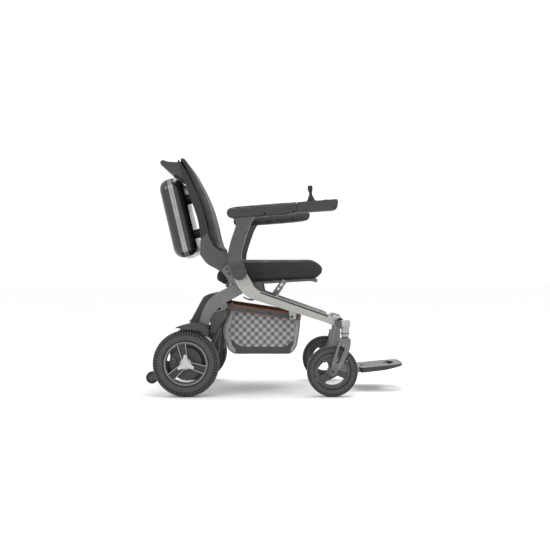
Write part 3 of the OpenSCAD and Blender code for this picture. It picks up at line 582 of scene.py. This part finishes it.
def tube(name, points, radius, key, body):
    """A round tube along points, such as a sewn welt."""
    path = smooth_path(points, 3)
    rings = []
    for i, p in enumerate(path):
        d = (path[min(i + 1, len(path) - 1)] - path[max(i - 1, 0)]).normalized()
        side = d.cross(Vector((0, 1, 0))).normalized()
        up = side.cross(d)
        rings.append([p + side * (radius * math.cos(a)) + up * (radius * math.sin(a)) for a in turn(10)])
    verts, faces = loft(rings)
    add(name, verts, faces, key, body)


def plate(name, outline, y0, y1, key, body, bevel):
    """A flat piece with the side outline [(x, z)] between y0 and y1, with rounded edges."""
    verts, faces = loft([[Vector((x, y, z)) for x, z in outline] for y in sorted((y0, y1))])
    round_edges(add(name, verts, faces, key, body, smooth=False), bevel, 35)


def strip(a, b, across, low, high):
    """The side outline of a band from a to b, whose edges are at low and high along across."""
    return [(q.x, q.z) for q in (a + across * low, b + across * low, b + across * high, a + across * high)]


def upright(name, profile, x, y, key, body):
    """A lathe form about a vertical axis, from (radius, height) points."""
    rings = [[Vector((x + r * math.cos(a), y + r * math.sin(a), z)) for a in turn(48)] for r, z in profile]
    verts, faces = loft(rings)
    split_edges(add(name, verts, faces, key, body), 35)


# Rings of a screw head, as shares of its radius and height, and whether the ring is a hexagon
SCREW_HEAD = ((1.0, 0, False), (1.0, 0.45, False), (0.9, 0.8, False), (0.62, 1.0, False),
              (0.52, 1.0, True), (0.5, 0.35, True), (0.12, 0.3, False))


def hexagon(a):
    """Distance to the side of a hexagon at angle a, where its corners are at 1."""
    off_corner = (a + math.pi / 6) % (math.pi / 3) - math.pi / 6
    return math.cos(math.pi / 6) / math.cos(off_corner)


def screw(name, at, radius, side, key, body, height=0.0018):
    """A domed screw head with a socket, facing along Y on that side."""
    rings = []
    for r, h, six in SCREW_HEAD:
        ring = []
        for a in turn(28):
            rr = radius * r * (hexagon(a) if six else 1)
            ring.append(Vector((at[0] + rr * math.cos(a), at[1] + side * height * h,
                                at[2] + rr * math.sin(a))))
        rings.append(ring)
    verts, faces = loft(rings)
    add(name, verts, faces, key, body, smooth=False)


# ---- Tyres with moulded ribs ----

# Outer half of a tyre's section: depth below the tread as a share of its height, and share of half its width
TREAD_SECTION = ((0.46, 1.0), (0.42, 0.985), (0.34, 0.99), (0.22, 0.965), (0.12, 0.90), (0.05, 0.78),
                 (0.012, 0.58), (0, 0.34), (0, 0.12))
RIB = (0.0, 0.0, 0.0, 0.35, 1.0, 1.0, 1.0, 0.35)  # from a rib at 0 to the slot after it at 1


def tyre(name, centre, y, height, ribs, body, node, rib_depth):
    """A tyre with ribs moulded over its shoulders and tread, in place of a CAD tyre."""
    lo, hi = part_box(node)
    r = (hi[2] - lo[2]) / 2
    half = (hi[1] - lo[1]) / 2
    base = r - height
    section = [(base + 0.0012, -half * 0.60), (base + 0.004, -half * 0.78),
               (base + height * 0.20, -half * 0.93), (base + height * 0.42, -half * 0.99)]
    section += [(r - height * depth, -half * wide) for depth, wide in TREAD_SECTION]
    section += [(a, -b) for a, b in reversed(section)]
    flank = r - height * 0.43

    def rib(i, rr, off):
        if rr < flank or abs(off) < half * 0.2:
            return rr, off
        g = RIB[i % len(RIB)] * min(1.0, (rr - flank) / (height * 0.06) + 0.25)
        inner = 1.0 if abs(off) > half * 0.3 else 0.6
        share = 0.75 if rr > r - height * 0.1 else 0.25
        return rr - rib_depth * g * inner * share, off * (1 - rib_depth * 0.9 * g / half)

    steps = ribs * len(RIB)
    verts, faces = turned(section, centre + Vector((0, y, 0)), steps, rib)
    o = add(name, verts, faces, "tyre", body)
    split_edges(o, 50)
    # Marks where the rubber gets painted shade: fully next to the rim, and by the slot share of RIB in the
    # tread slots.
    shaded_groove = o.data.attributes.new("shaded_groove", "FLOAT", "POINT")
    for i in range(steps):
        for j, (rr, off) in enumerate(section):
            slot = RIB[i % len(RIB)] if flank < rr < r - height * 0.04 else 0.0
            shaded_groove.data[i * len(section) + j].value = 1.0 if rr < base + height * 0.1 else slot
    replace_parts(o, node)


for side, s in SIDES:
    tyre("drive_tyre_ribbed_" + side, DRIVE, s * DRIVE_Y, 0.046, 72, "drive_wheel_" + side,
         "drive_tyre_" + side, 0.0034)
    tyre("caster_tyre_ribbed_" + side, CASTER, s * CASTER_Y, 0.031, 60, "caster_wheel_" + side,
         "caster_tyre_" + side, 0.0026)


# ---- Cushions, made by a cloth simulation ----

SIM_FRAMES = 20


def inflate(o, pressure, cap):
    """Lets cloth under pressure round the piece off, and moves no point by more than cap."""
    start = [v.co.copy() for v in o.data.vertices]
    c = o.modifiers.new("cloth", "CLOTH")
    c.settings.use_pressure = True
    c.settings.uniform_pressure_force = pressure
    c.settings.effector_weights.gravity = 0
    c.settings.mass = 0.2
    c.settings.tension_stiffness = 20
    c.settings.compression_stiffness = 20
    c.settings.bending_stiffness = 0.8
    c.point_cache.frame_start = 1
    c.point_cache.frame_end = SIM_FRAMES
    for f in range(1, SIM_FRAMES + 1):
        scene.frame_set(f)
    dg = bpy.context.evaluated_depsgraph_get()
    done = o.evaluated_get(dg).to_mesh()
    moved = [v.co.copy() for v in done.vertices]
    o.evaluated_get(dg).to_mesh_clear()
    o.modifiers.remove(c)
    scene.frame_set(1)
    for v, a, b in zip(o.data.vertices, start, moved):
        d = b - a
        if d.length > cap:
            d = d.normalized() * cap
        v.co = a + d


def padded_piece(name, node, key, voxel, pressure, cap, shrink, soften):
    """A copy of the CAD solid, shrunk by that much on each side of X, Y and Z, then softened and inflated."""
    mesh = nodes[node].data.copy()
    mesh.name = name
    mesh.materials.clear()
    mesh.materials.append(M[key])
    o = bpy.data.objects.new(name, mesh)
    scene.collection.objects.link(o)
    lo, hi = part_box(node)
    mid = (Vector(lo) + Vector(hi)) / 2
    size = Vector(hi) - Vector(lo)
    for v in mesh.vertices:
        for k in range(3):
            v.co[k] = mid[k] + (v.co[k] - mid[k]) * (1 - 2 * shrink[k] / size[k])
    view = bpy.context.view_layer
    for other in view.objects:
        other.select_set(False)
    o.select_set(True)
    view.objects.active = o
    r = o.modifiers.new("remesh", "REMESH")
    r.mode = "VOXEL"
    r.voxel_size = voxel
    r.use_smooth_shade = True
    bpy.ops.object.modifier_apply(modifier="remesh")
    o.modifiers.new("soften", "SMOOTH").iterations = soften
    bpy.ops.object.modifier_apply(modifier="soften")
    inflate(o, pressure, cap)
    return o


def stay_inside(o, node, slack):
    """Keeps the piece's points in its CAD node's box, give or take slack."""
    lo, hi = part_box(node)
    for v in o.data.vertices:
        for k in range(3):
            v.co[k] = min(max(v.co[k], lo[k] - slack), hi[k] + slack)


def finish_pad(o, node, body):
    stay_inside(o, node, 0.002)
    for p in o.data.polygons:
        p.use_smooth = True
    m = o.modifiers.new("fine", "SUBSURF")
    m.levels = m.render_levels = 1
    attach(o, body)
    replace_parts(o, node)


def press_channel(o, distance_to, depth, width):
    """Pushes points inwards near a sewn line. distance_to(point) is None where the line doesn't run."""
    o.data.update()
    normals = [v.normal.copy() for v in o.data.vertices]
    for v, n in zip(o.data.vertices, normals):
        d = distance_to(v.co)
        if d is not None and d < width * 2.5:
            v.co -= n * depth * math.exp(-(d / width) ** 2)


# Seat cushion: a seam around its edge, and a top sewn into a middle, two sides and a front
SEAT_LO, SEAT_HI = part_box("seat_cushion")
SEAT_SEAM_Z, SEAT_SEAM_RISE = SEAT_LO[2] + 0.030, 0.05
SEAT_TOP_Z = SEAT_HI[2] - 0.03
SEAT_SIDE_Y, SEAT_FRONT_X = 0.145, SEAT_HI[0] - 0.115


def to_edge_seam(p):
    if abs(p.y) < SEAT_HI[1] - 0.03 and p.x < SEAT_HI[0] - 0.05:
        return None
    return abs(p.z - (SEAT_SEAM_Z + (p.x - SEAT_LO[0]) * SEAT_SEAM_RISE))


def to_side_seams(p):
    return abs(abs(p.y) - SEAT_SIDE_Y) if p.z > SEAT_TOP_Z else None


def to_front_seam(p):
    return abs(p.x - SEAT_FRONT_X) if p.z > SEAT_TOP_Z and abs(p.y) < SEAT_SIDE_Y else None


seat = padded_piece("seat_cushion_soft", "seat_cushion", "seat_cloth", 0.006, 4.0, 0.010,
                    (0.0, 0.002, 0.003), 3)
press_channel(seat, to_edge_seam, 0.0022, 0.0035)
press_channel(seat, to_side_seams, 0.003, 0.006)
press_channel(seat, to_front_seam, 0.0025, 0.006)
finish_pad(seat, "seat_cushion", "seat")

# Backrest pad: three channels across a middle field
BACK_FIELD_Y = 0.14
BACK_FIELD_LOW, BACK_FIELD_HIGH = FOLD.z + 0.17, FOLD.z + 0.45
back = padded_piece("back_pad_soft", "back_pad", "back_leather", 0.0045, 3.0, 0.006, (0.0, 0.001, 0.0), 1)
for n in range(3):
    across_z = FOLD.z + 0.215 + 0.085 * n
    press_channel(back, lambda p: abs(p.z - across_z) if abs(p.y) < BACK_FIELD_Y else None, 0.003, 0.005)
press_channel(back, lambda p: abs(abs(p.y) - BACK_FIELD_Y) if BACK_FIELD_LOW < p.z < BACK_FIELD_HIGH else None,
              0.003, 0.005)
finish_pad(back, "back_pad", "backrest")

for side, _ in SIDES:
    pad = padded_piece("arm_pad_soft_" + side, "arm_pad_" + side, "arm_leather", 0.0045, 3.0, 0.004,
                       (0.0, 0.001, 0.001), 2)
    finish_pad(pad, "arm_pad_" + side, "armrest_" + side)


# ---- Basket: two quilted sides and one wall sewn round their edges ----

def from_rail(*points):
    """A smooth line through points in millimetres forward of and above the cargo rail's pivot."""
    return smooth_path([RAIL + Vector((x / 1000, 0, z / 1000)) for x, z in points])


REAR_EDGE = from_rail((21, -8), (21, -18), (8, -55), (-4, -89), (-2, -120), (8, -150), (14, -169), (24, -181))
LOW_EDGE = from_rail((24, -181), (33, -187), (48, -191), (100, -191), (190, -191), (252, -191), (268, -186),
                     (278, -176))
FRONT_EDGE = from_rail((301, -50), (301, -58), (298, -100), (290, -150), (286, -163), (278, -176))
BASKET_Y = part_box("basket")[1][1] - 0.0014
ROUND = 0.008  # radius of the basket's long edges
SIDE_COLS, SIDE_ROWS, WALL_COLS = 84, 54, 24


def sample(path, t):
    """The point at share t of the path's length."""
    lengths = [0]
    for a, b in zip(path, path[1:]):
        lengths.append(lengths[-1] + (b - a).length)
    want = t * lengths[-1]
    for i in range(1, len(path)):
        if lengths[i] >= want - 1e-9:
            f = (want - lengths[i - 1]) / (lengths[i] - lengths[i - 1])
            return path[i - 1].lerp(path[i], f)
    return path[-1].copy()


def gap_to(path, p):
    """Distance from p to the path."""
    best = 9
    for a, b in zip(path, path[1:]):
        d = b - a
        t = min(max((p - a).dot(d) / d.length_squared, 0), 1)
        best = min(best, (a + d * t - p).length)
    return best


def face_out(o, middle=None, towards=None):
    """Turns the sheet so that its normals point away from middle or along towards."""
    mesh = o.data
    total = 0
    for p in mesh.polygons:
        total += p.normal.dot(towards if towards is not None else p.center - middle) * p.area
    if total < 0:
        mesh.flip_normals()


def thicken(o, depth=0.0026):
    m = o.modifiers.new("cloth_thickness", "SOLIDIFY")
    m.thickness = depth
    m.offset = -1


def side_grid():
    """Rows of points that fill the outline between the rear, front and lower edges, in the plane y = 0."""
    top = (REAR_EDGE[0], FRONT_EDGE[0])
    flat = []
    for j in range(SIDE_ROWS + 1):
        v = j / SIDE_ROWS
        for i in range(SIDE_COLS + 1):
            u = i / SIDE_COLS
            r, f = sample(REAR_EDGE, v), sample(FRONT_EDGE, v)
            t, b = top[0].lerp(top[1], u), sample(LOW_EDGE, u)
            corners = (top[0] * (1 - u) + top[1] * u) * (1 - v)
            corners += (REAR_EDGE[-1] * (1 - u) + FRONT_EDGE[-1] * u) * v
            flat.append(r * (1 - u) + f * u + t * (1 - v) + b * v - corners)
    return flat


def grid_faces(rows, cols):
    n = cols + 1
    return [(j * n + i, j * n + i + 1, (j + 1) * n + i + 1, (j + 1) * n + i)
            for j in range(rows) for i in range(cols)]


def quilted(p, gaps):
    """How far out the side stands at p: rounded off at its edges, quilted inside its borders."""
    nearest = min(gaps)
    y = BASKET_Y
    if nearest < ROUND:
        y -= ROUND - math.sqrt(max(ROUND ** 2 - (ROUND - nearest) ** 2, 0))
    k = 2 * math.pi / QUILT
    inside = min(max((min(gaps[0] - REAR_TRIM, gaps[1] - FRONT_TRIM, gaps[2] - HEM)) / 0.008, 0), 1)
    y += inside * (0.0013 * math.cos((p.x - RAIL.x) * k) * math.cos((p.z - RAIL.z) * k))
    return y + 0.0006 * noise.noise(p * 18) * min(nearest / 0.02, 1)


def basket():
    flat = side_grid()
    gaps = [(gap_to(REAR_EDGE, p), gap_to(FRONT_EDGE, p), gap_to(LOW_EDGE, p)) for p in flat]
    path = REAR_EDGE + LOW_EDGE[1:] + FRONT_EDGE[::-1][1:]
    top = (REAR_EDGE[0], FRONT_EDGE[0])
    for side, s in SIDES:
        verts = [Vector((p.x, s * quilted(p, g), p.z)) for p, g in zip(flat, gaps)]
        o = add("basket_side_" + side, verts, grid_faces(SIDE_ROWS, SIDE_COLS), "mesh", "cargo_frame",
                recalc=False)
        face_out(o, towards=Vector((0, s, 0)))
        edge = o.data.attributes.new("edge", "FLOAT_VECTOR", "POINT")
        for i, g in enumerate(gaps):
            edge.data[i].vector = g
        thicken(o)
        line = [Vector((q.x, s * (BASKET_Y - ROUND * 0.35), q.z)) for q in path[1:-1:4]]
        tube("basket_seam_" + side, line, 0.0021, "piping", "cargo_frame")
        line = [top[0].lerp(top[1], f / 6) + Vector((0, s * (BASKET_Y - 0.001), -0.001)) for f in range(7)]
        tube("basket_rim_" + side, line, 0.0022, "brown", "cargo_frame")
    half = BASKET_Y - ROUND
    verts = [Vector((q.x, -half + 2 * half * j / WALL_COLS, q.z)) for q in path for j in range(WALL_COLS + 1)]
    hem_from, hem_to = len(REAR_EDGE) - 4, len(REAR_EDGE) + len(LOW_EDGE) + 2
    slots = [int(hem_from <= i <= hem_to) for i in range(len(path) - 1) for _ in range(WALL_COLS)]
    o = add("basket_wall", verts, grid_faces(len(path) - 1, WALL_COLS), None, "cargo_frame",
            keys=["basket_wall", "hem"], slots=slots, recalc=False)
    face_out(o, middle=RAIL + Vector((0.15, 0, -0.06)))
    thicken(o)
    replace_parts(o, "basket")


basket()


# ---- Rear pod ----

LEAN = math.radians(13.3)
POD = FOLD + Vector((-0.239, 0, 0.121))
POD_H, POD_HALF_W, POD_CORNER = 0.328, 0.148, 0.046
# Half of the pod from its middle outwards: distance along its depth and inset of the outline, in millimetres
SHELL_STATIONS = ((9, 3.5), (9.6, 0.9), (10.6, 0.4), (14, 0.5), (20, 1.6), (26, 3.6), (32, 7.0), (37, 11.2),
                  (41, 16.0), (44, 21.0), (46, 25.5), (47.3, 30.0), (48, 35.0), (48, 36.5))
BAND_STATIONS = ((-1.1, 0.2), (-0.7, -0.7), (0.7, -0.7), (1.1, 0.2))
POST_STATIONS = ((0.040, 0.014), (0.062, 0.014), (0.066, 0.0155), (0.082, 0.0155))


def on_pod(x, y, z):
    """A point given in the leaning pod's own axes, from the middle of its lower edge."""
    return POD + Vector((x * math.cos(LEAN) - z * math.sin(LEAN), y, x * math.sin(LEAN) + z * math.cos(LEAN)))


def pod_rings(stations, sign=1):
    """The pod's rounded outline at each station."""
    rings = []
    for x, inset in stations:
        r = max(POD_CORNER - inset / 1000, 0.004)
        ring = []
        for n, (sz, sy) in enumerate(((1, 1), (-1, 1), (-1, -1), (1, -1))):
            for k in range(13):
                a = math.radians(90 * k / 12)
                a = a if n % 2 else math.pi / 2 - a
                z = POD_H / 2 + sz * (POD_H / 2 - POD_CORNER + r * math.sin(a))
                y = sy * (POD_HALF_W - POD_CORNER + r * math.cos(a))
                ring.append(on_pod(sign * x / 1000, y, z))
        rings.append(ring)
    return rings


def pod_shell(name, sign, key):
    verts, faces = loft(pod_rings(SHELL_STATIONS, sign))
    o = add(name, verts, faces, key, "backrest")
    split_edges(o, 40)
    return o


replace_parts(pod_shell("pod_rear_shell", -1, "pod"), "pod_shells")
pod_shell("pod_front_shell", 1, "pod_front")
for z in (0.090, 0.240):
    for y in (-0.070, 0.070):
        verts, faces = loft([[on_pod(x, y + r * math.cos(a), z + r * math.sin(a)) for a in turn(28)]
                             for x, r in POST_STATIONS])
        add("pod_post_%d_%d" % (z * 1000, y * 1000 + 70), verts, faces, "plastic", "backrest", smooth=False)
verts, faces = loft(pod_rings(BAND_STATIONS), caps=False)
add("pod_band_line", verts, faces, "steel", "backrest")


# ---- Joystick boot: a collar that rides on the right armrest, and bellows round the stick ----

PAD_SLOPE = 0.08  # rise of the armrest for each metre forward
PAD_REAR, PAD_LENGTH = ARM + Vector((-0.050, 0, 0.233)), 0.275
STICK_AHEAD, STICK_BASE = 0.055, 0.019  # from the pad's front end to the stick, and up to the controller's top
TILT = math.atan(PAD_SLOPE)


def along_pad(x, up):
    """The point x forward of the pad's rear end on its sloping middle line, and that much above it."""
    return PAD_REAR + Vector((x, 0, x * PAD_SLOPE + up))


STICK = along_pad(PAD_LENGTH + STICK_AHEAD, STICK_BASE)
STICK_Y = (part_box("controller")[0][1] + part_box("controller")[1][1]) / 2


def about_stick(x, y, h):
    """A point given in millimetres from the foot of the stick, whose axis leans with the armrest."""
    x, y, h = x / 1000, y / 1000, h / 1000
    return STICK + Vector((x * math.cos(TILT) - h * math.sin(TILT), y + STICK_Y,
                           x * math.sin(TILT) + h * math.cos(TILT)))


def on_stick(name, body, *profile):
    """A lathe form about the stick's axis, from (radius, height) points in millimetres."""
    verts, faces = loft([[about_stick(r * math.cos(a), r * math.sin(a), h) for a in turn(40)]
                         for r, h in profile], caps=False)
    return add(name, verts, faces, "soft_rubber", body)


on_stick("joystick_collar", "armrest_right",
         (16.4, 0), (20, 0), (20.2, 1.6), (19.2, 3.0), (17.4, 3.2), (16.6, 2.4), (16.4, 0))
lower = on_stick("joystick_bellows_lower", None,
                 (15.8, 0.4), (16.2, 2.4), (14.8, 4.2), (15.6, 6.0), (14.4, 7.6), (12.6, 8.6), (12.2, 9.4))
upper = on_stick("joystick_bellows_upper", None,
                 (12.2, 9.4), (13.4, 11.2), (12.4, 13.0), (10.4, 14.2), (11.2, 16.2), (10.2, 17.8), (8.2, 19.4),
                 (7.6, 22.4), (7.2, 25.6), (6.6, 26.2), (6.2, 25.6))
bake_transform(lower)
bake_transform(upper)
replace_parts(upper, "joystick_boot")


# ---- Trim, fasteners and small parts ----

# Screws seen from the side, as (x, z)
ARM_SCREWS = ((-0.0487, 0.7119), (0.065, 0.7215))
RAIL_SCREWS = ((-0.1165, 0.3327), (-0.030, 0.3199))
CONTROLLER_SCREWS = ((0.1099, 0.7249), (0.2211, 0.736))
SMALL_SCREW, AXLE_BOLT = 0.0042, 0.0062  # head radii

# The side beam's straight run, and the dark inlay below its upper edge
BEAM_REAR = FOLD + Vector((0.0585, 0, -0.016))
BEAM_FRONT = Vector((0.2045, 0, 0.317))
BEAM_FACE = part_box("side_beams")[1][1]
RUN = (BEAM_FRONT - BEAM_REAR).normalized()
DROP = Vector((RUN.z, 0, -RUN.x))

# The cargo rail: its face, height, direction, and the offsets of its brown edges and its ribs
RAIL_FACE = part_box("rail_trims")[1][1]
RAIL_H = 0.02
ALONG = Vector((math.cos(RAIL_SLOPE), 0, math.sin(RAIL_SLOPE)))
ACROSS = Vector((-math.sin(RAIL_SLOPE), 0, math.cos(RAIL_SLOPE)))
RAIL_EDGES = ((RAIL_H / 2 - 0.0035, RAIL_H / 2 + 0.0026), (-RAIL_H / 2 - 0.0026, -RAIL_H / 2 + 0.0008))
RAIL_RIBS = (0.0012, -0.0034, 0.0058)
RIM_RING_R, RIM_WIRE = 0.0842, 0.0014


def outer(box, s, inset):
    """Y of a point this far in from the box's outer face on that side."""
    return (box[1][1] if s > 0 else box[0][1]) - s * inset


def middle_of(box):
    return (box[0][0] + box[1][0]) / 2, (box[0][2] + box[1][2]) / 2


def beam_inlay(side, s):
    outline = strip(BEAM_REAR + RUN * 0.004, BEAM_FRONT - RUN * 0.004, DROP, 0.0016, 0.0081)
    plate("beam_inlay_" + side, outline, s * (BEAM_FACE - 0.0004), s * (BEAM_FACE + 0.0007), "plastic",
          "chassis", 0.0003)


def arm_trim(side, s):
    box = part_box("arm_pad_" + side)
    start, end = along_pad(0.022, 0.0182), along_pad(0.272, 0.0182)
    outline = [(start.x, start.z), (end.x, end.z), (end.x, end.z + 0.0018), (start.x + 0.004, start.z + 0.0018)]
    plate("arm_top_strip_" + side, outline, box[0][1] + 0.006, box[1][1] - 0.006, "brown", "armrest_" + side,
          0.0005)
    for n, (x, z) in enumerate(ARM_SCREWS):
        screw("arm_screw_%s_%d" % (side, n), (x, outer(box, s, 0.0012), z), SMALL_SCREW, s, "screw",
              "armrest_" + side)


def rail_screws(side, s):
    for n, (x, z) in enumerate(RAIL_SCREWS):
        screw("rail_screw_%s_%d" % (side, n), (x, s * (RAIL_FACE - 0.0062), z), SMALL_SCREW, s, "screw",
              "cargo_frame", 0.005)


def wheel_trim(side, s):
    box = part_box("clutch_knob_" + side)
    x, z = middle_of(box)
    screw("clutch_mark_" + side, (x, outer(box, s, 0.0008), z + 0.0085), 0.0026, s, "orange", "clutch_" + side,
          0.0014)
    wire = [(RIM_RING_R + RIM_WIRE * math.cos(a), RIM_WIRE * math.sin(a)) for a in turn(10) + [2 * math.pi]]
    verts, faces = turned(wire, DRIVE + Vector((0, outer(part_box("drive_rim_" + side), s, 0.0006), 0)))
    add("rim_ring_" + side, verts, faces, "steel", "drive_wheel_" + side)
    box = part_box("caster_fork_" + side)
    for n, way in enumerate((1, -1)):
        screw("caster_bolt_%s_%d" % (side, n), (CASTER.x, outer(box, way, 0.0003), CASTER.z), AXLE_BOLT, way,
              "black", "caster_" + side, 0.0022)
    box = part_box("anti_tip_wheel_" + side)
    x, z = middle_of(box)
    screw("anti_tip_bolt_" + side, (x, outer(box, s, 0.0004), z), AXLE_BOLT, s, "screw",
          "anti_tip_" + side, 0.002)


def head_rings(side, s):
    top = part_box("head_tubes")[1][2]
    collar = [(0.0172, top - 0.024), (0.0196, top - 0.0225), (0.0196, top - 0.004), (0.0186, top - 0.0012),
              (0.016, top + 0.0008), (0.006, top + 0.0012)]
    upright("head_collar_" + side, collar, SWIVEL_X, s * CASTER_Y, "silver_light", "chassis")
    # A thin black band round the head tube: painted shade standing in for the shadow in a groove.
    shaded_groove = [(0.0168, top - 0.052), (0.0174, top - 0.0512), (0.0174, top - 0.0496), (0.0168, top - 0.0488)]
    upright("head_groove_" + side, shaded_groove, SWIVEL_X, s * CASTER_Y, "black", "chassis")


def rail_trim(side, s):
    for n, (low, high) in enumerate(RAIL_EDGES):
        outline = strip(RAIL + ALONG * 0.004, RAIL + ALONG * 0.305, ACROSS, low, high)
        plate("rail_edge_%s_%d" % (side, n), outline, s * (RAIL_FACE - 0.0004), s * (RAIL_FACE + 0.0009),
              "brown", "cargo_frame", 0.0004)
    for n, m in enumerate(RAIL_RIBS):
        outline = strip(RAIL + ALONG * 0.022, RAIL + ALONG * 0.294, ACROSS, m - 0.0008, m + 0.0008)
        plate("rail_rib_%s_%d" % (side, n), outline, s * (RAIL_FACE - 0.0064), s * (RAIL_FACE - 0.0035),
              "rail", "cargo_frame", 0.0003)
    end = RAIL + ALONG * 0.306
    outline = strip(end, end + ALONG * 0.0025, ACROSS, -RAIL_H / 2, RAIL_H / 2)
    plate("rail_cap_" + side, outline, s * (RAIL_FACE - 0.0165), s * (RAIL_FACE - 0.0005), "brown",
          "cargo_frame", 0.0006)


for side, s in SIDES:
    for fit in (beam_inlay, arm_trim, rail_screws, wheel_trim):
        fit(side, s)
for side, s in SIDES:
    head_rings(side, s)
    rail_trim(side, s)
for n, (x, z) in enumerate(CONTROLLER_SCREWS):
    screw("controller_screw_%d" % n, (x, outer(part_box("controller"), -1, 0.0012), z), 0.0040, -1, "screw",
          "armrest_right")


# ---- Ending ----

FLOOR_RADIUS = 80  # far enough that its edge lies on the horizon


def stage():
    mesh = bpy.data.meshes.new("floor")
    bm = bmesh.new()
    bmesh.ops.create_circle(bm, cap_ends=True, segments=96, radius=FLOOR_RADIUS)
    bm.to_mesh(mesh)
    bm.free()
    s = Shader("studio_floor", 0.9, level=0.2)
    s.colour(two_tone(s, shade((1, 1, 1), 0.90), shade((1, 1, 1), 0.93), 0.6))
    mesh.materials.append(s.mat)
    floor = bpy.data.objects.new("floor", mesh)
    scene.collection.objects.link(floor)
    world = bpy.data.worlds.new("studio")
    world.use_nodes = True
    world.node_tree.nodes["Background"].inputs["Color"].default_value = (1, 1, 1, 1)
    world.node_tree.nodes["Background"].inputs["Strength"].default_value = 1.08
    scene.world = world


stage()
area("top", (0.2, 0.3, 3.0), (0, 0.0, 0.3), (2.2, 1.8), 55)
area("front_left", (-2.4, -2.6, 2.2), (0, 0, 0.5), (1.4, 1.6), 26)
area("front_right", (2.8, -2.0, 1.5), (0, 0, 0.4), (1.2, 1.6), 12)
